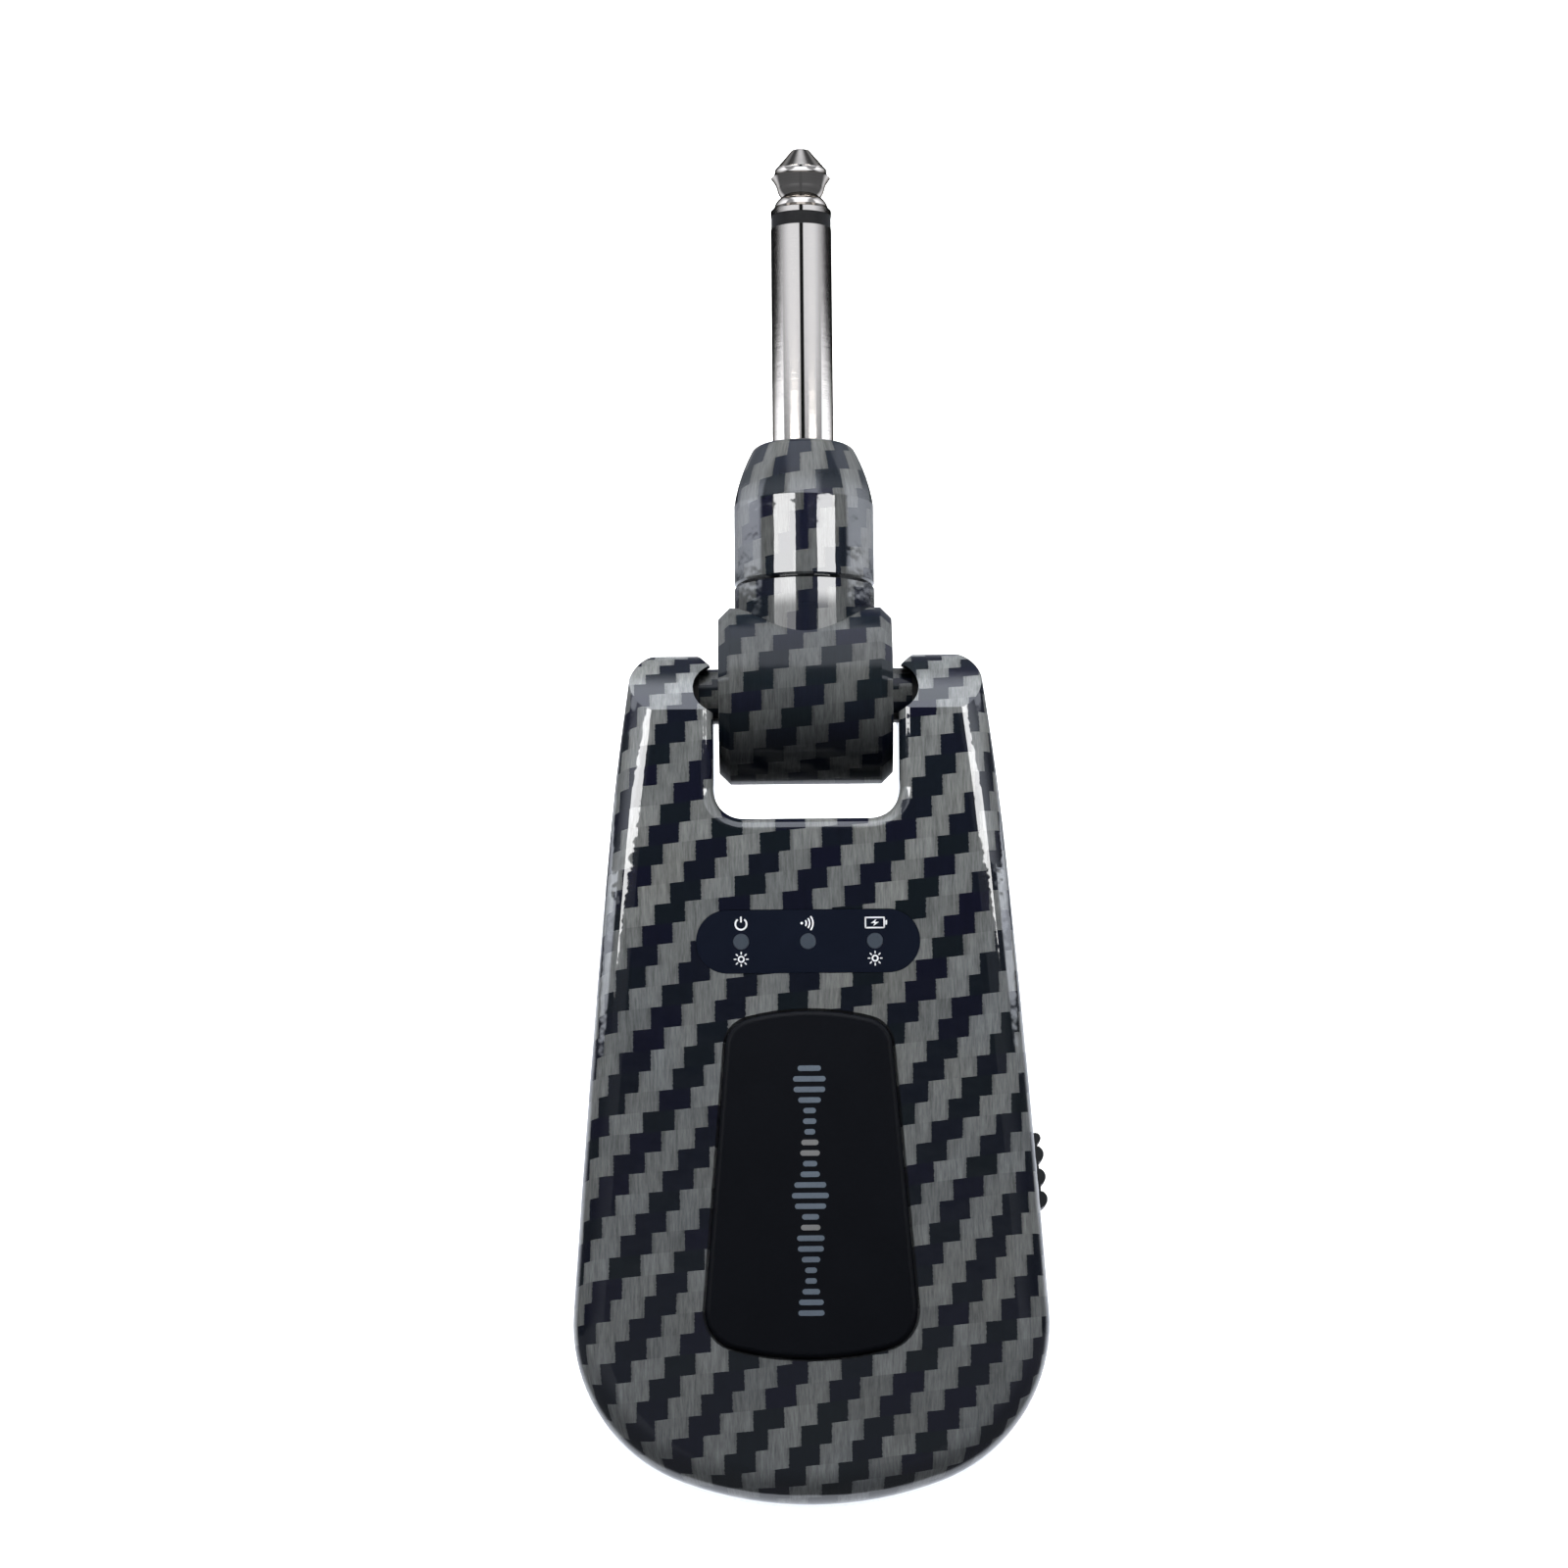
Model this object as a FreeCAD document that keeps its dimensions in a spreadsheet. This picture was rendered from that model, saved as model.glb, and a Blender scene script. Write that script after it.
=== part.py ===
import FreeCAD, Part
import os
import math
import Sketcher

# Folding wireless transmitter with a 6.35 mm jack plug.
# Frame: +Z out of the front face, +Y towards the plug's tip, +X to the switch side.
# Origin: centre of the flat rear face.  Shapes are drawn about the hinge axis in
# plan (y = 0 at the hinge) and each sub-part's Placement carries it to its seat.

V = FreeCAD.Vector
os.makedirs("parts", exist_ok=True)
doc = FreeCAD.newDocument("transmitter")
sheet = doc.addObject("Spreadsheet::Sheet", "Params")
VALS = {}


class D:
    """A length that knows its number and its spreadsheet expression."""

    def __init__(self, v, e=None):
        self.v = float(v)
        self.e = e if e is not None else repr(float(v))

    def __add__(self, o):
        o = dim(o)
        return D(self.v + o.v, "(%s + %s)" % (self.e, o.e))

    __radd__ = __add__

    def __sub__(self, o):
        o = dim(o)
        return D(self.v - o.v, "(%s - %s)" % (self.e, o.e))

    def __rsub__(self, o):
        return dim(o) - self

    def __mul__(self, o):
        o = dim(o)
        return D(self.v * o.v, "(%s * %s)" % (self.e, o.e))

    __rmul__ = __mul__

    def __neg__(self):
        return D(-self.v, "(0 - %s)" % self.e)


def dim(x):
    return x if isinstance(x, D) else D(x)


def cells(rows):
    for alias, value in rows:
        n = len(VALS) + 1
        sheet.set("A%d" % n, alias)
        sheet.set("B%d" % n, str(value))
        sheet.setAlias("B%d" % n, alias)
        VALS[alias] = D(value, "Params.%s" % alias)


cells([
    # seats of the hinge axis in the object's frame
    ("pivot_y", 43.0), ("pivot_z", 9.8),
    # housing
    ("front_depth", 7.7), ("wall", 1.7), ("rear_floor", 1.6), ("front_roof", 2.1),
    ("ear_top", 4.2), ("ear_corner_x", 15.5), ("ear_side_x", 18.15), ("ear_side_y", 1.0),
    ("ear_corner_rad", 4.6), ("ear_edge", 2.6), ("ear_nose_rad", 4.0),
    ("ear_slope_rad", 26.0), ("flank_x", 20.5), ("flank_y", 19.0), ("flank_rad_upper", 333.0),
    ("hip_x", 24.034), ("hip_y", 63.99), ("flank_rad_lower", 2100.0),
    ("corner_rad", 16.937), ("toe_x", 13.014), ("toe_y", 81.019), ("toe_rad", 37.5),
    ("foot_round", 3.2), ("back_round", 3.4), ("seam_bevel", 0.16),
    # fork between the ears
    ("fork_half", 9.5), ("fork_floor", 13.8), ("fork_corner", 3.0), ("fork_lip", 1.3),
    # hinge
    ("drum_rad", 9.15), ("drum_half", 8.95), ("drum_bevel", 1.15), ("collar_rad", 7.25),
    ("collar_end", 11.2), ("hub_rad", 2.85), ("hub_end", 11.0), ("pin_rad", 2.2),
    ("pin_end", 15.5), ("run_gap", 0.05), ("bush_rad", 3.0), ("bush_start", 11.6),
    ("bush_end", 15.4), ("trunnion_bore", 1.3), ("scallop_x", 8.6), ("scallop_rad", 3.0),
    ("washer_end", 11.55), ("ear_bore_end", 16.7),
    # nose and plug
    ("seam_gap", 0.35), ("spigot_rad", 5.9), ("spigot_end", 14.0), ("arm_cavity_rad", 4.6),
    ("nose_break", 20.0), ("nose_end", 26.3), ("nose_tip_rad", 4.55), ("plug_rad", 3.175),
    ("sleeve_end", 49.6), ("collar_black", 51.0), ("tip_end", 58.5),
    ("sleeve_bore", 1.9), ("rod_rad", 1.05), ("sleeve_root_rad", 2.85), ("nut_flat", 4.2), ("sleeve_step", 0.2),
    # window and badge
    ("window_y", 26.6), ("window_half", 11.375), ("window_tall", 6.45), ("window_thick", 0.8),
    ("dot_pitch", 6.8), ("dot_rad", 0.8),
    ("badge_top", 33.7), ("badge_low", 68.9), ("badge_half_top", 8.5), ("badge_half_low", 10.7),
    ("badge_corner_top", 3.0), ("badge_corner_low", 3.9),
    ("badge_recess", 1.2), ("badge_proud", 0.3), ("badge_gap", 0.25),
    # switch and socket
    ("switch_y", 49.6), ("switch_x", 22.93), ("switch_angle", 4.13), ("knob_long", 7.7),
    ("knob_tall", 3.6), ("knob_proud", 1.05), ("switch_travel", 2.0),
    ("socket_y", 49.6), ("socket_wide", 8.94), ("socket_tall", 3.26),
    # inside
    ("board_z", 11.4), ("board_thick", 1.0), ("board_half", 17.6), ("board_top", 18.5),
    ("board_low", 74.0), ("cell_half", 14.0), ("cell_top", 24.0), ("cell_low", 61.0),
    ("cell_z", 2.0), ("cell_thick", 5.2),
    ("boss_rad", 2.5), ("boss_top_x", 14.6), ("boss_top_y", 20.5), ("boss_low_x", 17.2),
    ("boss_low_y", 69.5),
])
doc.recompute()
P = VALS
Q = D(0)


def body(label, y=None, z=None, x=None):
    b = doc.addObject("PartDesign::Body", label)
    b.Label = label
    for axis, val in (("x", x), ("y", y), ("z", z)):
        if val is not None:
            b.setExpression("Placement.Base.%s" % axis, dim(val).e)
    return b


def plane(b, role):
    return [f for f in b.Origin.OriginFeatures if f.Role == role][0]


def new_sketch(b, role, off=None):
    sk = b.newObject("Sketcher::SketchObject", "Sketch")
    sk.AttachmentSupport = [(plane(b, role), "")]
    sk.MapMode = "FlatFace"
    if off is not None:
        off = dim(off)
        sk.AttachmentOffset = FreeCAD.Placement(V(0, 0, off.v), FreeCAD.Rotation())
        sk.setExpression("AttachmentOffset.Base.z", off.e)
    return sk


def bind(sk, cid, e):
    sk.setExpression("Constraints[%d]" % cid, e)


def loop(sk, pts):
    """Closed outline.  Each item is (x, y) or (x, y, radius, side): the edge that
    ends at the point is a line, or an arc of that radius bulging left (+1) or
    right (-1) of the direction of travel."""
    items = [(dim(p[0]), dim(p[1])) + tuple(p[2:]) for p in pts]
    n = len(items)
    ids = []
    ends = []
    for i in range(n):
        a = items[i - 1]
        b = items[i]
        pa, pb = V(a[0].v, a[1].v, 0), V(b[0].v, b[1].v, 0)
        if len(b) == 2:
            ids.append(sk.addGeometry(Part.LineSegment(pa, pb), False))
            ends.append((1, 2))
        else:
            r, side = dim(b[2]).v, b[3]
            ch = pb - pa
            half = ch.Length / 2.0
            u = V(-ch.y, ch.x, 0).normalize()
            centre = (pa + pb) * 0.5 - u * (math.sqrt(max(r * r - half * half, 0.0)) * side)
            first, last = (pb, pa) if side > 0 else (pa, pb)
            a0 = math.atan2(first.y - centre.y, first.x - centre.x)
            a1 = math.atan2(last.y - centre.y, last.x - centre.x)
            if a1 < a0:
                a1 += 2.0 * math.pi
            arc = Part.ArcOfCircle(Part.Circle(centre, V(0, 0, 1), r), a0, a1)
            ids.append(sk.addGeometry(arc, False))
            ends.append((2, 1) if side > 0 else (1, 2))
    for i in range(n):
        j = (i + 1) % n
        sk.addConstraint(Sketcher.Constraint("Coincident", ids[i], ends[i][1], ids[j], ends[j][0]))
    for i in range(n):
        b = items[i]
        if abs(b[0].v) < 1e-9:
            sk.addConstraint(Sketcher.Constraint("PointOnObject", ids[i], ends[i][1], -2))
        else:
            c = sk.addConstraint(Sketcher.Constraint("DistanceX", -1, 1, ids[i], ends[i][1], b[0].v))
            bind(sk, c, b[0].e)
        if abs(b[1].v) < 1e-9:
            sk.addConstraint(Sketcher.Constraint("PointOnObject", ids[i], ends[i][1], -1))
        else:
            c = sk.addConstraint(Sketcher.Constraint("DistanceY", -1, 1, ids[i], ends[i][1], b[1].v))
            bind(sk, c, b[1].e)
        if len(b) > 2:
            a = items[i - 1]
            chord = math.hypot(a[0].v - b[0].v, a[1].v - b[1].v)
            if abs(chord - 2.0 * dim(b[2]).v) < 1e-6:
                sk.addConstraint(Sketcher.Constraint("Symmetric", ids[i], 1, ids[i], 2, ids[i], 3))
            else:
                c = sk.addConstraint(Sketcher.Constraint("Radius", ids[i], dim(b[2]).v))
                bind(sk, c, dim(b[2]).e)
    return sk


def circle(sk, x, y, r):
    x, y, r = dim(x), dim(y), dim(r)
    g = sk.addGeometry(Part.Circle(V(x.v, y.v, 0), V(0, 0, 1), r.v), False)
    if abs(x.v) < 1e-9:
        sk.addConstraint(Sketcher.Constraint("PointOnObject", g, 3, -2))
    else:
        c = sk.addConstraint(Sketcher.Constraint("DistanceX", -1, 1, g, 3, x.v))
        bind(sk, c, x.e)
    if abs(y.v) < 1e-9:
        sk.addConstraint(Sketcher.Constraint("PointOnObject", g, 3, -1))
    else:
        c = sk.addConstraint(Sketcher.Constraint("DistanceY", -1, 1, g, 3, y.v))
        bind(sk, c, y.e)
    c = sk.addConstraint(Sketcher.Constraint("Radius", g, r.v))
    bind(sk, c, r.e)
    return sk


def rect(sk, x0, y0, x1, y1):
    return loop(sk, [(x0, y0), (x1, y0), (x1, y1), (x0, y1)])


def vol(b):
    return b.Tip.Shape.Volume if b.Tip is not None and not b.Tip.Shape.isNull() else 0.0


def feature(b, kind, sk, length=None, rev=False, through=False, angle=None, axis=None):
    before = 0.0
    doc.recompute()
    if b.Tip is not None and b.Tip.TypeId.startswith("PartDesign::"):
        before = b.Tip.Shape.Volume
    f = b.newObject("PartDesign::" + kind, kind)
    f.Profile = sk
    if kind in ("Pad", "Pocket"):
        if through:
            f.Type = 1
        else:
            length = dim(length)
            f.Length = length.v
            f.setExpression("Length", length.e)
        f.Reversed = rev
    else:
        f.ReferenceAxis = (sk, [axis])
        f.Angle = 360.0 if angle is None else angle
    sk.Visibility = False
    doc.recompute()
    after = f.Shape.Volume
    if kind in ("Pad", "Revolution") and after <= before + 1e-6:
        raise RuntimeError("%s adds nothing in %s" % (f.Name, b.Label))
    if kind in ("Pocket", "Groove") and after >= before - 1e-6:
        raise RuntimeError("%s cuts nothing in %s" % (f.Name, b.Label))
    return f


def dress(b, kind, pick, size):
    """Fillet or Chamfer on the edges that pick() accepts."""
    doc.recompute()
    prev = b.Tip
    names = ["Edge%d" % (i + 1) for i, e in enumerate(prev.Shape.Edges) if pick(e)]
    if not names:
        raise RuntimeError("no edges for %s in %s" % (kind, b.Label))
    f = b.newObject("PartDesign::" + kind, kind)
    f.Base = (prev, names)
    size = dim(size)
    prop = "Radius" if kind == "Fillet" else "Size"
    setattr(f, prop, size.v)
    f.setExpression(prop, size.e)
    doc.recompute()
    if "Invalid" in f.State or "Error" in f.State or f.Shape.isNull():
        raise RuntimeError("%s failed in %s" % (kind, b.Label))
    return f


def flat_at(z, tol=1e-3):
    return lambda e: abs(e.BoundBox.ZMin - z) < tol and abs(e.BoundBox.ZMax - z) < tol


def tube(points, r, bend=None):
    """Straight runs joined by tangent arcs, swept with a round section."""
    pts = [V(*p) for p in points]
    edges = []
    last = pts[0]
    for i in range(1, len(pts) - 1):
        a = (pts[i - 1] - pts[i])
        c = (pts[i + 1] - pts[i])
        la, lc = a.Length, c.Length
        a.normalize()
        c.normalize()
        turn = math.pi - a.getAngle(c)
        back = 0.45 * min(la, lc)
        rad = back / math.tan(turn / 2.0)
        if bend is not None and rad > bend:
            rad = bend
            back = rad * math.tan(turn / 2.0)
        p0 = pts[i] + a * back
        p1 = pts[i] + c * back
        half = (a + c).normalize()
        centre = pts[i] + half * (rad / math.cos(turn / 2.0))
        mid = centre + (pts[i] - centre).normalize() * rad
        edges.append(Part.LineSegment(last, p0).toShape())
        edges.append(Part.Arc(p0, mid, p1).toShape())
        last = p1
    edges.append(Part.LineSegment(last, pts[-1]).toShape())
    wire = Part.Wire(edges)
    d = (pts[1] - pts[0]).normalize()
    prof = Part.Wire([Part.Circle(pts[0], d, r).toShape()])
    return wire.makePipeShell([prof], True, False)


def box_part(label, x0, y0, z0, x1, y1, z1):
    """Plain block given by its low and high corners, drawn about the hinge in plan."""
    o = doc.addObject("Part::Box", label)
    o.Label = label
    lo, hi = [dim(a) for a in (x0, y0, z0)], [dim(a) for a in (x1, y1, z1)]
    for prop, i in (("Length", 0), ("Width", 1), ("Height", 2)):
        o.setExpression(prop, (hi[i] - lo[i]).e)
    for ax, i in (("x", 0), ("y", 1), ("z", 2)):
        e = lo[i] + P["pivot_y"] if ax == "y" else lo[i]
        o.setExpression("Placement.Base.%s" % ax, e.e)
    return o


PARTS = []


def keep(o):
    PARTS.append(o)
    return o


# ---------------------------------------------------------------- housing shells
def outline(sk):
    """Plan outline of the housing: long flared flanks and round foot.  The ears
    run past their ends here and are cut to shape afterwards."""
    top = D(12.0)
    return loop(sk, [
        (P["ear_side_x"] - 1.63, top),
        (P["ear_side_x"], P["ear_side_y"]),
        (P["flank_x"], -P["flank_y"], P["flank_rad_upper"], 1),
        (P["hip_x"], -P["hip_y"], P["flank_rad_lower"], 1),
        (P["toe_x"], -P["toe_y"], P["corner_rad"], 1),
        (-P["toe_x"], -P["toe_y"], P["toe_rad"], 1),
        (-P["hip_x"], -P["hip_y"], P["corner_rad"], 1),
        (-P["flank_x"], -P["flank_y"], P["flank_rad_lower"], 1),
        (-P["ear_side_x"], P["ear_side_y"], P["flank_rad_upper"], 1),
        (-(P["ear_side_x"] - 1.63), top),
    ])


def ear_corners(sk):
    for s in (1, -1):
        pts = [(P["ear_corner_x"], P["ear_top"]), (P["ear_corner_x"], D(14.0)), (D(24.0), D(14.0)),
               (D(24.0), P["ear_side_y"]), (P["ear_side_x"], P["ear_side_y"])]
        if s > 0:
            loop(sk, [(P["ear_corner_x"], P["ear_top"], P["ear_corner_rad"], -1)] + pts[1:])
        else:
            loop(sk, [(-P["ear_corner_x"], P["ear_top"], P["ear_corner_rad"], 1)]
                 + [(-x, y) for x, y in pts[1:]])


def cavity(sk):
    """Inside of the shell, one wall in from the outline, with a web behind the fork."""
    w = P["wall"]
    x_hip = P["hip_x"] - w
    toe_x = P["toe_x"] * (1 - 1.7 / 37.5)
    toe_y = P["toe_y"] - w * 0.938
    ear_y = D(6.4)
    web_y = P["fork_floor"] + 2.6
    return loop(sk, [
        (D(12.0), -ear_y),
        (P["ear_side_x"] - D(1.0), -ear_y),
        (P["flank_x"] - w, -P["flank_y"]),
        (x_hip, -P["hip_y"], P["flank_rad_lower"], 1),
        (toe_x, -toe_y, P["corner_rad"] - w, 1),
        (-toe_x, -toe_y, P["toe_rad"] - w, 1),
        (-x_hip, -P["hip_y"], P["corner_rad"] - w, 1),
        (-(P["flank_x"] - w), -P["flank_y"], P["flank_rad_lower"], 1),
        (-(P["ear_side_x"] - D(1.0)), -ear_y),
        (D(-12.0), -ear_y),
        (D(-12.0), -web_y),
        (D(12.0), -web_y),
    ])


def fork(sk):
    fh, ff, r = P["fork_half"], P["fork_floor"], P["fork_corner"]
    top = D(14.0)
    # the ears' inner top corners are bevelled
    return loop(sk, [
        (fh + 6.0, top),
        (fh + 1.7, P["ear_top"] + 0.05),
        (fh, P["ear_top"] - 1.9),
        (fh, -(ff - r)),
        (fh - r, -ff, r, 1),
        (-(fh - r), -ff),
        (-fh, -(ff - r), r, 1),
        (-fh, P["ear_top"] - 1.9),
        (-(fh + 1.7), P["ear_top"] + 0.05),
        (-(fh + 6.0), top),
    ])


def ear_bore(sk):
    for s in (1, -1):
        a, b, c, e = P["fork_half"] - 0.3, P["bush_start"], P["bush_end"], P["ear_bore_end"]
        r1, r2, r3 = P["hub_rad"] + 0.3, P["bush_rad"], P["pin_rad"] + 0.3
        pts = [(a, Q), (a, r1), (b, r1), (b, r2), (c, r2), (c, r3), (e, r3), (e, Q)]
        if s < 0:
            pts = [(-x, y) for x, y in pts][::-1]
        loop(sk, pts)


def rotated_rect(sk, cx, cy, ang, u0, u1, w0, w1):
    """Rectangle in a frame turned about Z: u along the outward normal, w along the wall."""
    ca, sa = math.cos(ang), math.sin(ang)
    pts = []
    for u, w in ((u0, w0), (u1, w0), (u1, w1), (u0, w1)):
        x = D(cx.v + u * ca - w * sa, "(%s + %r)" % (cx.e, u * ca - w * sa))
        y = D(cy.v + u * sa + w * ca, "(%s + %r)" % (cy.e, u * sa + w * ca))
        pts.append((x, y))
    return loop(sk, pts)


ANG = math.radians(P["switch_angle"].v)
# outward normal of the right flank at the switch is turned up by ANG from +X


def rim(z):
    """Edges of the outline at one level, without the ears' open ends."""
    return lambda e: (abs(e.BoundBox.ZMin - z) < 1e-3 and abs(e.BoundBox.ZMax - z) < 1e-3
                      and e.BoundBox.YMin < 11.0)


def shell(label, front):
    b = body(label, y=P["pivot_y"])
    pz = P["pivot_z"]
    top = pz + P["front_depth"]
    if front:
        feature(b, "Pad", outline(new_sketch(b, "XY_Plane", pz)), P["front_depth"])
        dress(b, "Fillet", rim(top.v), P["foot_round"])
        dress(b, "Chamfer", rim(pz.v), P["seam_bevel"])
    else:
        feature(b, "Pad", outline(new_sketch(b, "XY_Plane")), pz)
        dress(b, "Fillet", rim(0.0), P["back_round"])
        dress(b, "Chamfer", rim(pz.v), P["seam_bevel"])
    # end of the ears in side view
    sk = new_sketch(b, "YZ_Plane", -30.0)
    if front:
        # a crisp edge across the face, a long shallow slope, then a round nose
        loop(sk, [(D(13.0), pz), (D(13.0), top + 1.0),
                  (-P["ear_edge"], top + 1.0),
                  (-P["ear_edge"], top),
                  (P["ear_top"] - P["ear_nose_rad"] * 0.212, pz + P["ear_nose_rad"] * 0.6157,
                   P["ear_slope_rad"], 1),
                  (P["ear_top"], pz, P["ear_nose_rad"], 1)])
    else:
        loop(sk, [(D(13.0), pz), (P["ear_top"], pz),
                  (P["ear_top"] - pz, Q, pz, 1),
                  (P["ear_top"] - pz, D(-1.0)),
                  (D(13.0), D(-1.0))])
    feature(b, "Pocket", sk, 60.0, rev=True)
    sk = new_sketch(b, "XY_Plane", D(-1.0))
    ear_corners(sk)
    feature(b, "Pocket", sk, 30.0, rev=True)
    # fork
    sk = new_sketch(b, "XY_Plane", pz if front else D(0))
    feature(b, "Pocket", fork(sk), 30.0, rev=True)
    return b


def fork_edge(zlevel):
    lim = P["fork_half"].v

    def pick(e):
        bb = e.BoundBox
        if abs(bb.ZMin - zlevel) > 1e-3 or abs(bb.ZMax - zlevel) > 1e-3:
            return False
        return max(abs(bb.XMin), abs(bb.XMax)) < lim + 0.01 and bb.YMin > -P["fork_floor"].v - 0.01
    return pick


TOPZ = P["pivot_z"] + P["front_depth"]

front_shell = keep(shell("front_shell", True))
dress(front_shell, "Fillet", fork_edge(TOPZ.v), P["fork_lip"])
sk = new_sketch(front_shell, "XY_Plane", P["pivot_z"])
feature(front_shell, "Pocket", cavity(sk), P["front_depth"] - P["front_roof"], rev=True)
sk = new_sketch(front_shell, "XY_Plane", P["pivot_z"])
ear_bore(sk)
feature(front_shell, "Groove", sk, axis="H_Axis")
# scallops that show the hubs from the front
sk = new_sketch(front_shell, "XY_Plane", P["pivot_z"])
circle(sk, P["scallop_x"], Q, P["scallop_rad"])
circle(sk, -P["scallop_x"], Q, P["scallop_rad"])
feature(front_shell, "Pocket", sk, 10.0, rev=True)
# window recess with three holes
sk = new_sketch(front_shell, "XY_Plane", TOPZ)
hw, ht = P["window_half"], P["window_tall"] * 0.5
wy = -P["window_y"]


def stadium(sk, half, tall2, cy, grow=0.0):
    r = tall2 + grow
    x = half + grow - r
    return loop(sk, [(x, cy - r), (x, cy + r, r, -1), (-x, cy + r), (-x, cy - r, r, -1)])


stadium(sk, hw, ht, wy, 0.05)
feature(front_shell, "Pocket", sk, P["window_thick"])
sk = new_sketch(front_shell, "XY_Plane", TOPZ)
for k in (-1, 0, 1):
    circle(sk, P["dot_pitch"] * k, wy, P["dot_rad"] + 0.25)
feature(front_shell, "Pocket", sk, 4.0)


def badge(sk, grow):
    """Long tapered tablet: convex ends, round corners, every joint tangent."""
    g = dim(grow)
    ht_, hl = P["badge_half_top"] + g, P["badge_half_low"] + g
    yt, yl = -P["badge_top"] + g, -P["badge_low"] - g
    lean = math.atan2(P["badge_half_low"].v - P["badge_half_top"].v,
                      P["badge_low"].v - P["badge_top"].v - 8.0)
    side = math.radians(90.0) - lean

    def corner(r, end, sign):
        # chord of the corner arc between the flank and an end arc leaning by end
        turn = side - end if sign > 0 else math.pi - end - side
        half = turn / 2.0
        mean = (side + end) / 2.0 if sign > 0 else (side + math.pi - end) / 2.0
        k = 2.0 * math.sin(half)
        return k * math.cos(mean), -k * math.sin(mean)

    et, el = math.radians(14.5), math.radians(15.0)
    rt, rl = P["badge_corner_top"] + g, P["badge_corner_low"] + g
    cx, cy = corner(rt.v, et, 1)
    bx, by = corner(rl.v, el, -1)
    xt = ht_ - rt * cx
    big_t = xt * (1.0 / math.sin(et))
    sag_t = big_t * (1.0 - math.cos(et))
    xl = hl + rl * bx
    big_l = xl * (1.0 / math.sin(el))
    sag_l = big_l * (1.0 - math.cos(el))
    y1 = yt - sag_t
    y4 = yl + sag_l
    return loop(sk, [
        (ht_, y1 + rt * cy, rt, 1),
        (hl, y4 - rl * by),
        (xl, y4, rl, 1),
        (-xl, y4, big_l, 1),
        (-hl, y4 - rl * by, rl, 1),
        (-ht_, y1 + rt * cy),
        (-xt, y1, rt, 1),
        (xt, y1, big_t, 1),
    ])


sk = new_sketch(front_shell, "XY_Plane", TOPZ)
badge(sk, P["badge_gap"])
feature(front_shell, "Pocket", sk, P["badge_recess"])
# screw bosses, with pilot holes, and four board posts
BOSS = [(P["boss_top_x"], -P["boss_top_y"]), (-P["boss_top_x"], -P["boss_top_y"]),
        (P["boss_low_x"], -P["boss_low_y"]), (-P["boss_low_x"], -P["boss_low_y"])]
POST = [(D(12.0), D(-32.0)), (D(-12.0), D(-32.0)), (D(13.0), D(-66.0)), (D(-13.0), D(-66.0))]
sk = new_sketch(front_shell, "XY_Plane", P["pivot_z"])
for x, y in BOSS:
    circle(sk, x, y, P["boss_rad"])
feature(front_shell, "Pad", sk, P["front_depth"] - P["front_roof"] + 0.2)
sk = new_sketch(front_shell, "XY_Plane", P["board_z"] + P["board_thick"])
for x, y in POST:
    circle(sk, x, y, 1.7)
feature(front_shell, "Pad", sk, TOPZ - P["front_roof"] + 0.2 - P["board_z"] - P["board_thick"])
sk = new_sketch(front_shell, "XY_Plane", P["pivot_z"])
for x, y in BOSS:
    circle(sk, x, y, 0.85)
for x, y in POST:
    circle(sk, x, y, 0.6)
feature(front_shell, "Pocket", sk, 5.4, rev=True)
# half of the switch slot, half of the socket opening, wire channel
sk = new_sketch(front_shell, "XY_Plane", P["pivot_z"])
rotated_rect(sk, P["switch_x"], -P["switch_y"], ANG, -3.0, 2.0,
             -(3.85 + 0.25 + 2.0), 3.85 + 0.25)
feature(front_shell, "Pocket", sk, P["knob_tall"] * 0.5 + 0.15, rev=True)
sk = new_sketch(front_shell, "XY_Plane", P["pivot_z"])
rotated_rect(sk, -P["switch_x"], -P["socket_y"], math.pi - ANG, -3.0, 2.0, -4.7, 4.7)
feature(front_shell, "Pocket", sk, 1.9, rev=True)
sk = new_sketch(front_shell, "XY_Plane", P["pivot_z"])
for s in (1, -1):
    rect(sk, s * D(15.45), D(-7.0), s * D(16.7), D(1.2))
feature(front_shell, "Pocket", sk, 0.9, rev=True)

rear_shell = keep(shell("rear_shell", False))
dress(rear_shell, "Fillet", fork_edge(0.0), 1.0)
sk = new_sketch(rear_shell, "XY_Plane", P["rear_floor"])
feature(rear_shell, "Pocket", cavity(sk), 20.0, rev=True)
sk = new_sketch(rear_shell, "XY_Plane", P["pivot_z"])
ear_bore(sk)
feature(rear_shell, "Groove", sk, axis="H_Axis")
sk = new_sketch(rear_shell, "XY_Plane", P["rear_floor"] - 0.2)
for x, y in BOSS:
    circle(sk, x, y, P["boss_rad"] + 0.2)
feature(rear_shell, "Pad", sk, P["pivot_z"] - P["rear_floor"] + 0.2)
sk = new_sketch(rear_shell, "XY_Plane", D(0))
for x, y in BOSS:
    circle(sk, x, y, 1.85)
feature(rear_shell, "Pocket", sk, 4.6, rev=True)
sk = new_sketch(rear_shell, "XY_Plane", D(0))
for x, y in BOSS:
    circle(sk, x, y, 1.05)
feature(rear_shell, "Pocket", sk, 12.0, rev=True)
sk = new_sketch(rear_shell, "XY_Plane", P["pivot_z"])
rotated_rect(sk, P["switch_x"], -P["switch_y"], ANG, -3.0, 2.0,
             -(3.85 + 0.25 + 2.0), 3.85 + 0.25)
feature(rear_shell, "Pocket", sk, P["knob_tall"] * 0.5 + 0.15)
sk = new_sketch(rear_shell, "XY_Plane", P["pivot_z"])
rotated_rect(sk, -P["switch_x"], -P["socket_y"], math.pi - ANG, -3.0, 2.0, -4.7, 4.7)
feature(rear_shell, "Pocket", sk, 1.9)
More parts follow.
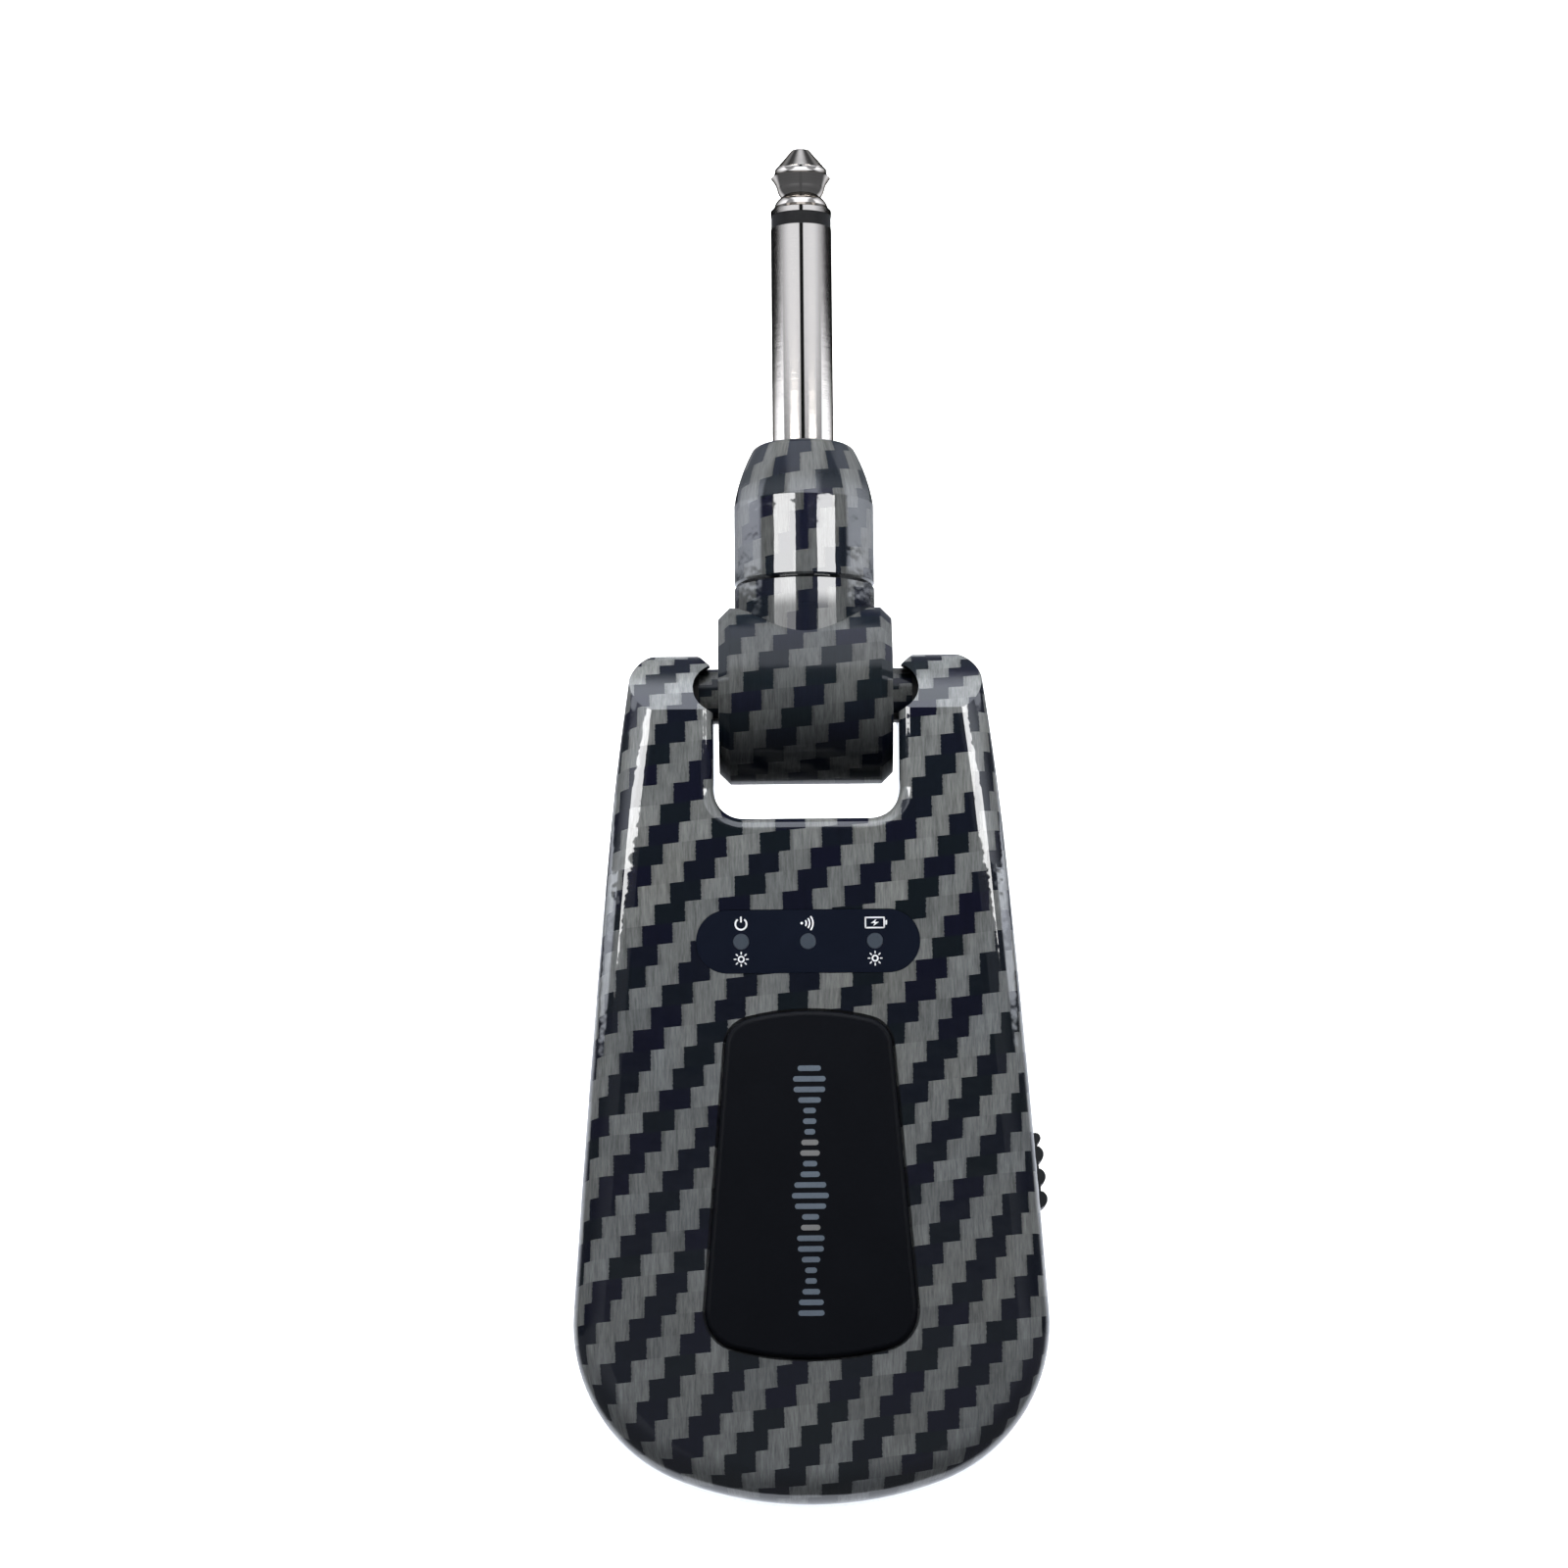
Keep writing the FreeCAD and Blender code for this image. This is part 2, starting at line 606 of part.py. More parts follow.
sk = new_sketch(rear_shell, "XY_Plane", P["pivot_z"])
for s in (1, -1):
    rect(sk, s * D(15.45), D(-7.0), s * D(16.7), D(1.2))
feature(rear_shell, "Pocket", sk, 0.9)

# ---------------------------------------------------------------- window, lenses, badge
window = keep(body("indicator_window", y=P["pivot_y"]))
sk = new_sketch(window, "XY_Plane", TOPZ - P["window_thick"])
stadium(sk, hw, ht, wy)
for k in (-1, 0, 1):
    circle(sk, P["dot_pitch"] * k, wy, P["dot_rad"] + 0.03)
feature(window, "Pad", sk, P["window_thick"])


def lens(label, k):
    b = keep(body(label, y=P["pivot_y"]))
    sk = new_sketch(b, "XY_Plane", TOPZ - P["front_roof"] - 1.0)
    circle(sk, P["dot_pitch"] * k, wy, P["dot_rad"] + 0.9)
    feature(b, "Pad", sk, 1.0)
    sk = new_sketch(b, "XY_Plane", D(13.6))
    circle(sk, P["dot_pitch"] * k, wy, P["dot_rad"])
    feature(b, "Pad", sk, TOPZ - 13.6)
    return b


lens("power_light_pipe", -1)
lens("ir_lens", 0)
lens("charging_light_pipe", 1)

plate = keep(body("badge_plate", y=P["pivot_y"]))
sk = new_sketch(plate, "XY_Plane", TOPZ - P["badge_recess"])
badge(sk, Q)
feature(plate, "Pad", sk, P["badge_recess"] + P["badge_proud"])
dress(plate, "Fillet", flat_at((TOPZ + P["badge_proud"]).v), 0.55)

# ---------------------------------------------------------------- board and what it carries
BZ, BT = P["board_z"], P["board_thick"]
board = keep(body("main_board", y=P["pivot_y"]))
sk = new_sketch(board, "XY_Plane", BZ)
loop(sk, [(D(11.4), -P["board_top"]), (D(11.4), D(-24.2)), (D(17.0), D(-24.2)),
          (P["board_half"] + 1.2, D(-66.0)), (D(13.9), D(-66.4)), (D(11.5), -P["board_low"]),
          (D(-11.5), -P["board_low"]), (D(-13.9), D(-66.4)), (-(P["board_half"] + 1.2), D(-66.0)),
          (D(-17.0), D(-24.2)), (D(-11.4), D(-24.2)), (D(-11.4), -P["board_top"])])
feature(board, "Pad", sk, BT)
sk = new_sketch(board, "XY_Plane", BZ)
for x, y in POST:
    circle(sk, x, y, 0.8)
feature(board, "Pocket", sk, 3.0, rev=True)

TOPB = BZ + BT
keep(box_part("power_led", -P["dot_pitch"] - 0.8, wy - 0.6, TOPB, -P["dot_pitch"] + 0.8, wy + 0.6, TOPB + 0.7))
keep(box_part("charging_led", P["dot_pitch"] - 0.8, wy - 0.6, TOPB, P["dot_pitch"] + 0.8, wy + 0.6, TOPB + 0.7))
keep(box_part("ir_receiver", D(-1.6), wy - 1.25, TOPB, D(1.6), wy + 1.25, TOPB + 1.0))
keep(box_part("codec_chip", D(-9.0), D(-43.0), TOPB, D(-4.0), D(-38.0), TOPB + 0.9))
keep(box_part("charger_chip", D(4.5), D(-40.0), TOPB, D(7.5), D(-37.0), TOPB + 0.8))
keep(box_part("antenna", D(-4.5), D(-73.2), TOPB, D(4.5), D(-71.0), TOPB + 1.2))

shield = keep(body("radio_shield", y=P["pivot_y"]))
sk = new_sketch(shield, "XY_Plane", TOPB)
rect(sk, D(-7.5), D(-62.0), D(7.5), D(-48.0))
feature(shield, "Pad", sk, 2.1)
dress(shield, "Fillet", lambda e: e.BoundBox.ZLength > 2.0, 0.8)
sk = new_sketch(shield, "XY_Plane", TOPB)
rect(sk, D(-7.3), D(-61.8), D(7.3), D(-48.2))
feature(shield, "Pocket", sk, 1.9, rev=True)

# slide switch on the board's rear face, turned with the flank
sx, sy = P["switch_x"], P["pivot_y"] - P["switch_y"]


def turned(label, x, y, z, deg):
    b = body(label)
    b.Placement = FreeCAD.Placement(V(x.v, y.v, z.v), FreeCAD.Rotation(V(0, 0, 1), deg))
    b.setExpression("Placement.Base.x", x.e)
    b.setExpression("Placement.Base.y", y.e)
    b.setExpression("Placement.Base.z", z.e)
    return b


sw = keep(turned("slide_switch_body", sx, sy, P["pivot_z"], P["switch_angle"].v))
sk = new_sketch(sw, "XY_Plane", D(-1.8))
rect(sk, D(-7.6), D(-6.0), D(-4.0), D(4.0))
feature(sw, "Pad", sk, BZ - P["pivot_z"] + 1.8)
sk = new_sketch(sw, "YZ_Plane", D(-4.0))
rect(sk, D(-3.6), D(-0.6), D(2.1), D(0.6))
feature(sw, "Pocket", sk, 2.4)

lever = keep(turned("switch_lever", sx, sy, P["pivot_z"], P["switch_angle"].v))
sk = new_sketch(lever, "YZ_Plane", D(-6.2))
rect(sk, D(-0.7), D(-0.45), D(0.7), D(0.45))
feature(lever, "Pad", sk, 3.3)

knob = keep(turned("switch_knob", sx, sy, P["pivot_z"], P["switch_angle"].v))
kl, kt = P["knob_long"] * 0.5, P["knob_tall"] * 0.5
sk = new_sketch(knob, "YZ_Plane", D(-2.9))
rect(sk, -(kl + 1.4), -(kt + 0.9), kl + 1.4, kt + 0.9)
feature(knob, "Pad", sk, 0.8)
sk = new_sketch(knob, "YZ_Plane", D(-2.9))
rect(sk, -kl, -kt, kl, kt)
feature(knob, "Pad", sk, P["knob_proud"] - 0.6 + 2.9)
# four rounded ridges across the knob
sk = new_sketch(knob, "XY_Plane", -kt)
for c, half in ((-2.95, 0.8), (-0.65, 0.8), (1.65, 0.8), (3.3, 0.5)):
    low = P["knob_proud"] - 0.47
    loop(sk, [(D(0.0) - 0.3, D(c - half)), (low, D(c - half)),
              (low, D(c + half), D(half * 1.15), -1),
              (D(0.0) - 0.3, D(c + half))])
feature(knob, "Pad", sk, P["knob_tall"])
# socket that takes the lever
sk = new_sketch(knob, "YZ_Plane", D(-2.9))
rect(sk, D(-0.7), D(-0.45), D(0.7), D(0.45))
feature(knob, "Pocket", sk, 0.05, rev=True)

# charging socket on the left flank
usb = keep(turned("usb_socket", -sx, sy, P["pivot_z"] - 0.04, 180.0 - P["switch_angle"].v))
r_o = P["socket_tall"] * 0.5
w_o = P["socket_wide"] * 0.5
sk = new_sketch(usb, "YZ_Plane", D(-8.2))
loop(sk, [(w_o - r_o, -r_o), (w_o - r_o, r_o, r_o, -1), (-(w_o - r_o), r_o), (-(w_o - r_o), -r_o, r_o, -1)])
feature(usb, "Pad", sk, 7.9)
sk = new_sketch(usb, "YZ_Plane", D(-0.3))
r_i, w_i = r_o - 0.3, w_o - 0.3
loop(sk, [(w_i - r_i, -r_i), (w_i - r_i, r_i, r_i, -1), (-(w_i - r_i), r_i), (-(w_i - r_i), -r_i, r_i, -1)])
feature(usb, "Pocket", sk, 6.2)
sk = new_sketch(usb, "YZ_Plane", D(-7.0))
rect(sk, D(-3.3), D(-0.35), D(3.3), D(0.35))
feature(usb, "Pad", sk, 5.9)

# ---------------------------------------------------------------- battery
keep(box_part("battery_pad", D(-9.0), D(-58.0), P["rear_floor"], D(9.0), D(-27.0), P["cell_z"]))
cell = keep(body("battery_cell", y=P["pivot_y"]))
sk = new_sketch(cell, "XY_Plane", P["cell_z"])
rect(sk, -P["cell_half"], -P["cell_low"], P["cell_half"], -P["cell_top"])
feature(cell, "Pad", sk, P["cell_thick"])
dress(cell, "Fillet", lambda e: e.BoundBox.YLength > 30.0, 1.6)


def wires(label, paths, r, bend=None):
    o = doc.addObject("Part::Feature", label)
    o.Label = label
    o.Shape = Part.makeCompound([tube(p, r, bend) for p in paths])
    o.Placement = FreeCAD.Placement(V(0, P["pivot_y"].v, 0), FreeCAD.Rotation())
    return o


cz = P["cell_z"].v + P["cell_thick"].v
keep(wires("battery_leads", [
    [(x, -P["cell_low"].v, cz - 2.4), (x, -P["cell_low"].v - 4.0, cz - 2.4),
     (x, -P["cell_low"].v - 4.0, P["board_z"].v)] for x in (-3.0, 3.0)], 0.5))

# ---------------------------------------------------------------- screws
def screws(label, spots, z, head_r, head_t, shank_r, length, up=True):
    shapes = []
    for x, y in spots:
        s = 1 if up else -1
        base = V(x.v, y.v, z)
        axis = V(0, 0, s)
        head = Part.makeCylinder(head_r, head_t, base, axis)
        shank = Part.makeCylinder(shank_r, length, base + axis * head_t, axis)
        tip = Part.makeCone(shank_r, shank_r * 0.4, 0.7, base + axis * (head_t + length), axis)
        slot_a = Part.makeBox(head_r * 1.2, head_r * 0.26, head_t * 0.5,
                              V(x.v - head_r * 0.6, y.v - head_r * 0.13, z if up else z - head_t * 0.5))
        slot_b = Part.makeBox(head_r * 0.26, head_r * 1.2, head_t * 0.5,
                              V(x.v - head_r * 0.13, y.v - head_r * 0.6, z if up else z - head_t * 0.5))
        shapes.append(head.fuse([shank, tip]).cut([slot_a, slot_b]).removeSplitter())
    o = doc.addObject("Part::Feature", label)
    o.Label = label
    o.Shape = Part.makeCompound(shapes)
    o.Placement = FreeCAD.Placement(V(0, P["pivot_y"].v, 0), FreeCAD.Rotation())
    return o


keep(screws("shell_screws", BOSS, 3.4, 1.6, 1.2, 0.85, 8.6))
keep(screws("board_screws", POST, P["board_z"].v - 0.7, 1.2, 0.7, 0.6, 2.8))

# ---------------------------------------------------------------- hinge bushes
def bush(label, s):
    b = keep(body(label, y=P["pivot_y"], z=P["pivot_z"]))
    a, e = P["bush_start"], P["bush_end"]
    ri, ro = P["pin_rad"] + P["run_gap"], P["bush_rad"]
    sk = new_sketch(b, "XY_Plane")
    pts = [(a, ri), (e, ri), (e, ro), (a, ro)]
    if s < 0:
        pts = [(-x, y) for x, y in pts][::-1]
    loop(sk, pts)
    feature(b, "Revolution", sk, axis="H_Axis")
    return b


bush("pivot_bush_left", -1)
bush("pivot_bush_right", 1)

# ---------------------------------------------------------------- folding arm
arm = keep(body("hinge_arm", y=P["pivot_y"], z=P["pivot_z"]))
R, H, C = P["drum_rad"], P["drum_half"], P["drum_bevel"]
sk = new_sketch(arm, "XY_Plane")
loop(sk, [(-P["pin_end"], Q), (-P["pin_end"], P["pin_rad"]), (-P["hub_end"], P["pin_rad"]),
          (-P["hub_end"], P["hub_rad"]), (-H, P["hub_rad"]), (-H, R - C), (-(H - C), R),
          (H - C, R), (H, R - C), (H, P["hub_rad"]), (P["hub_end"], P["hub_rad"]),
          (P["hub_end"], P["pin_rad"]), (P["pin_end"], P["pin_rad"]), (P["pin_end"], Q)])
feature(arm, "Revolution", sk, axis="H_Axis")
# collar and threaded spigot along the arm
sk = new_sketch(arm, "XZ_Plane", D(0))
circle(sk, Q, Q, P["collar_rad"])
feature(arm, "Pad", sk, P["collar_end"], rev=True)
sk = new_sketch(arm, "XZ_Plane", D(0))
circle(sk, Q, Q, P["spigot_rad"])
feature(arm, "Pad", sk, P["spigot_end"], rev=True)
sk = new_sketch(arm, "XZ_Plane", D(4.5))
circle(sk, Q, Q, P["arm_cavity_rad"])
feature(arm, "Pocket", sk, 30.0)
sk = new_sketch(arm, "YZ_Plane", -P["pin_end"] - 1.0)
circle(sk, Q, Q, P["trunnion_bore"])
feature(arm, "Pocket", sk, P["pin_end"] * 2 + 2.0, rev=True)


def washer(label, s):
    b = keep(body(label, y=P["pivot_y"], z=P["pivot_z"]))
    sk = new_sketch(b, "XY_Plane")
    a, e = P["hub_end"], P["washer_end"]
    ri, ro = P["pin_rad"], P["hub_rad"] - 0.1
    pts = [(a, ri), (e, ri), (e, ro), (a, ro)]
    if s < 0:
        pts = [(-x, y) for x, y in pts][::-1]
    loop(sk, pts)
    feature(b, "Revolution", sk, axis="H_Axis")


washer("friction_washer_left", -1)
washer("friction_washer_right", 1)

cap = keep(body("nose_cap", y=P["pivot_y"], z=P["pivot_z"]))
c0 = P["collar_end"] + P["seam_gap"]
CR, PR = P["collar_rad"], P["plug_rad"]
sk = new_sketch(cap, "XY_Plane")
loop(sk, [
    (P["spigot_rad"], c0), (CR - 0.2, c0), (CR, c0 + 0.2), (CR, P["nose_break"]),
    (D(5.35), P["nose_end"] - 0.55, D(18.0), -1),
    (P["nose_tip_rad"], P["nose_end"], D(1.15), -1),
    (P["sleeve_root_rad"], P["nose_end"]), (P["sleeve_root_rad"], D(17.0)), (D(5.2), D(17.0)), (D(5.2), P["spigot_end"] + 0.2),
    (P["spigot_rad"], P["spigot_end"] + 0.2)])
feature(cap, "Revolution", sk, axis="V_Axis")

# ---------------------------------------------------------------- jack plug
sleeve = keep(body("plug_sleeve", y=P["pivot_y"], z=P["pivot_z"]))
sk = new_sketch(sleeve, "XY_Plane")
loop(sk, [(P["sleeve_bore"], D(15.0)), (P["sleeve_root_rad"], D(15.0)),
          (P["sleeve_root_rad"], P["nose_end"] + P["sleeve_step"]), (PR, P["nose_end"] + P["sleeve_step"]),
          (PR, P["sleeve_end"]), (P["sleeve_bore"], P["sleeve_end"])])
feature(sleeve, "Revolution", sk, axis="V_Axis")

ins = keep(body("tip_insulator", y=P["pivot_y"], z=P["pivot_z"]))
sk = new_sketch(ins, "XY_Plane")
loop(sk, [(P["rod_rad"], D(14.0)), (P["sleeve_bore"] - 0.03, D(14.0)),
          (P["sleeve_bore"] - 0.03, P["sleeve_end"]), (PR - 0.05, P["sleeve_end"]),
          (PR - 0.05, P["collar_black"]), (P["rod_rad"], P["collar_black"])])
feature(ins, "Revolution", sk, axis="V_Axis")

tip = keep(body("plug_tip", y=P["pivot_y"], z=P["pivot_z"]))
cb = P["collar_black"]
sk = new_sketch(tip, "XY_Plane")
loop(sk, [
    (Q, D(11.6)), (P["rod_rad"] - 0.02, D(11.6)), (P["rod_rad"] - 0.02, cb), (PR, cb),
    (PR, cb + 0.55), (PR - 0.35, cb + 0.95),
    (D(2.02), cb + 2.05, D(1.6), -1),
    (D(2.5), cb + 3.05, D(1.9), -1),
    (D(3.1), cb + 4.15, D(2.6), 1),
    (D(2.72), cb + 5.0, D(0.9), 1),
    (D(0.95), P["tip_end"] - 0.35),
    (Q, P["tip_end"], D(1.15), 1)])
feature(tip, "Revolution", sk, axis="V_Axis")


nut = keep(body("plug_nut", y=P["pivot_y"], z=P["pivot_z"]))
sk = new_sketch(nut, "XZ_Plane", D(-15.0))
loop(sk, [(P["nut_flat"] * (2.0 / math.sqrt(3.0) * math.cos(math.radians(60.0 * i))),
           P["nut_flat"] * (2.0 / math.sqrt(3.0) * math.sin(math.radians(60.0 * i)))) for i in range(6)])
circle(sk, Q, Q, P["sleeve_root_rad"])
feature(nut, "Pad", sk, 1.98, rev=True)


def ring(label, ri, ro, y0, y1, tab=None):
    b = keep(body(label, y=P["pivot_y"], z=P["pivot_z"]))
    sk = new_sketch(b, "XZ_Plane", -dim(y0))
    circle(sk, Q, Q, ro)
    circle(sk, Q, Q, ri)
    feature(b, "Pad", sk, dim(y1) - dim(y0), rev=True)
    if tab is not None:
        sk = new_sketch(b, "XZ_Plane", -dim(y0))
        rect(sk, D(tab[0]), D(tab[1]), D(tab[2]), D(tab[3]))
        feature(b, "Pad", sk, dim(y1) - dim(y0), rev=True)
    return b


ring("sleeve_lug", D(1.95), D(3.6), D(14.6), D(15.0), (3.0, -0.9, 4.4, 0.9))
ring("rear_insulator", D(1.9), D(2.6), D(13.2), D(14.6))
ring("tip_lug", P["rod_rad"], D(2.6), D(12.4), D(12.8), (-4.2, -0.8, -2.2, 0.8))


def arm_wire(label, pts):
    o = doc.addObject("Part::Feature", label)
    o.Label = label
    o.Shape = tube(pts, 0.45)
    o.Placement = FreeCAD.Placement(V(0, P["pivot_y"].v, P["pivot_z"].v), FreeCAD.Rotation())
    return keep(o)


arm_wire("tip_wire", [(-3.6, 12.35, 0), (-3.6, 5.0, 0), (-2.6, 0.0, 0), (-12.5, 0.0, 0)])
arm_wire("sleeve_wire", [(3.9, 14.55, 0), (3.9, 5.0, 0), (3.2, 0.0, 0), (12.5, 0.0, 0)])

pz = P["pivot_z"].v
o = wires("board_wires", [
    [(s * 12.8, 0.0, pz), (s * 16.05, 0.0, pz), (s * 16.05, -6.0, pz), (s * 13.6, -13.0, pz),
     (s * 13.3, -15.9, pz), (s * 10.9, -19.1, pz), (s * 10.4, -25.0, pz),
     (s * 10.4, -25.0, P["board_z"].v)] for s in (1, -1)], 0.4, 0.55)
keep(o)

# ---------------------------------------------------------------- check and write
doc.recompute()
bad = []
for o in doc.Objects:
    if "Invalid" in o.State or "Error" in o.State:
        bad.append("%s %s" % (o.Name, o.State))
for o in PARTS:
    s = o.Shape
    if s.isNull() or not s.isValid():
        bad.append("shape of %s" % o.Label)
if bad:
    raise RuntimeError("; ".join(bad))
for o in PARTS:
    o.Shape.exportStep("parts/%s.step" % o.Label)
    bb = o.Shape.BoundBox
    print("%-22s solids %d  vol %9.2f  x %.2f..%.2f y %.2f..%.2f z %.2f..%.2f" % (
        o.Label, len(o.Shape.Solids), o.Shape.Volume, bb.XMin, bb.XMax, bb.YMin, bb.YMax,
        bb.ZMin, bb.ZMax))
print("nodes", len(PARTS))
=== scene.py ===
import math

import bmesh
import bpy
from mathutils import Matrix, Vector


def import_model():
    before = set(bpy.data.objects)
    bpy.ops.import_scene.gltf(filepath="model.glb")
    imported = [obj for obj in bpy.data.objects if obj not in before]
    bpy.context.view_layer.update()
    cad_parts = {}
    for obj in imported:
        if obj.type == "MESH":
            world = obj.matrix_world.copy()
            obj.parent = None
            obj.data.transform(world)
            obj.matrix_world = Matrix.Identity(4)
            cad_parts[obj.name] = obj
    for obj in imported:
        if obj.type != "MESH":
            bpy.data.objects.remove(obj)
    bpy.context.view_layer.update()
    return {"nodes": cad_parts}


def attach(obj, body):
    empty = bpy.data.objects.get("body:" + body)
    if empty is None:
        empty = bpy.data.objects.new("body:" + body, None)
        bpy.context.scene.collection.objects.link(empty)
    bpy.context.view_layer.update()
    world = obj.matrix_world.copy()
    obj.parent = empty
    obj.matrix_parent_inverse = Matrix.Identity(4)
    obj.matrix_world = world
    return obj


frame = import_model()
NODES = frame["nodes"]

MM = 0.001
PIVOT = Vector((0.0, 43.0 * MM, 9.8 * MM))
FRONT_Z = 17.5 * MM

scene = bpy.context.scene
scene.view_settings.view_transform = "Standard"


# ------------------------------------------------------------------ camera
def make_camera():
    pitch = math.radians(9.0)
    roll = math.radians(0.5)
    dist = 0.600
    look = Vector((-2.3 * MM, PIVOT.y - 9.2 * MM, PIVOT.z))
    back = Vector((0.0, -math.sin(pitch), math.cos(pitch)))
    up = Vector((0.0, math.cos(pitch), math.sin(pitch)))
    right = up.cross(back)
    r2 = right * math.cos(roll) - up * math.sin(roll)
    u2 = up * math.cos(roll) + right * math.sin(roll)
    data = bpy.data.cameras.new("camera")
    data.sensor_width = 36.0
    data.lens = 133.3
    data.clip_start, data.clip_end = 0.01, 20.0
    cam = bpy.data.objects.new("camera", data)
    scene.collection.objects.link(cam)
    m = Matrix((r2, u2, back)).transposed().to_4x4()
    m.translation = look + back * dist
    cam.matrix_world = m
    scene.camera = cam


make_camera()


# ------------------------------------------------------------------ node helpers
class Net:
    """Small helper that writes shader node trees as expressions."""

    def __init__(self, tree):
        self.t = tree
        self.n = tree.nodes
        self.l = tree.links

    def new(self, kind, **props):
        node = self.n.new(kind)
        for k, v in props.items():
            setattr(node, k, v)
        return node

    def put(self, socket, value):
        if isinstance(value, bpy.types.NodeSocket):
            self.l.new(value, socket)
        elif value is not None:
            socket.default_value = value

    def m(self, op, a, b=None, c=None, clamp=False):
        node = self.new("ShaderNodeMath", operation=op, use_clamp=clamp)
        self.put(node.inputs[0], a)
        if b is not None:
            self.put(node.inputs[1], b)
        if c is not None:
            self.put(node.inputs[2], c)
        return node.outputs[0]

    def ramp(self, v, a, b, lo=0.0, hi=1.0, smooth=True):
        node = self.new("ShaderNodeMapRange")
        node.interpolation_type = "SMOOTHSTEP" if smooth else "LINEAR"
        self.put(node.inputs["Value"], v)
        self.put(node.inputs["From Min"], a)
        self.put(node.inputs["From Max"], b)
        self.put(node.inputs["To Min"], lo)
        self.put(node.inputs["To Max"], hi)
        return node.outputs["Result"]

    def mix(self, fac, a, b):
        node = self.new("ShaderNodeMix", data_type="RGBA")
        self.put(node.inputs[0], fac)
        self.put(node.inputs[6], a)
        self.put(node.inputs[7], b)
        return node.outputs[2]

    def scale(self, colour, value):
        node = self.new("ShaderNodeVectorMath", operation="SCALE")
        self.put(node.inputs[0], colour)
        self.put(node.inputs["Scale"], value)
        return node.outputs[0]

    def vec(self, x, y, z):
        node = self.new("ShaderNodeCombineXYZ")
        for s, v in zip(node.inputs, (x, y, z)):
            self.put(s, v)
        return node.outputs[0]

    def xyz(self, v):
        node = self.new("ShaderNodeSeparateXYZ")
        self.put(node.inputs[0], v)
        return node.outputs[0], node.outputs[1], node.outputs[2]

    def noise(self, v, scale, detail=2.0, rough=0.5):
        node = self.new("ShaderNodeTexNoise")
        self.put(node.inputs["Vector"], v)
        self.put(node.inputs["Scale"], scale)
        self.put(node.inputs["Detail"], detail)
        self.put(node.inputs["Roughness"], rough)
        return node.outputs["Fac"]

    def white(self, v):
        node = self.new("ShaderNodeTexWhiteNoise", noise_dimensions="3D")
        self.put(node.inputs["Vector"], v)
        return node.outputs["Value"]

    def coords(self):
        node = self.new("ShaderNodeTexCoord")
        return node.outputs["Object"], node.outputs["Normal"]

    def bump(self, height, strength, distance, normal=None):
        node = self.new("ShaderNodeBump")
        self.put(node.inputs["Strength"], strength)
        self.put(node.inputs["Distance"], distance)
        self.put(node.inputs["Height"], height)
        if normal is not None:
            self.put(node.inputs["Normal"], normal)
        return node.outputs[0]


def material(name, **consts):
    mat = bpy.data.materials.new(name)
    mat.use_nodes = True
    net = Net(mat.node_tree)
    bsdf = mat.node_tree.nodes["Principled BSDF"]
    for k, v in consts.items():
        bsdf.inputs[k.replace("_", " ")].default_value = v
    return mat, net, bsdf


def assign(obj, mat):
    obj.data.materials.clear()
    obj.data.materials.append(mat)


# ------------------------------------------------------------------ carbon print
ROW = 2.08      # height of one step of the twill, mm
SHIFT = 1.43    # how far a step moves over, mm
PERIOD = 6.45   # width of one light and one dark float, mm
DUTY = 0.53
TILT = 0.10     # the rows climb a little to the right


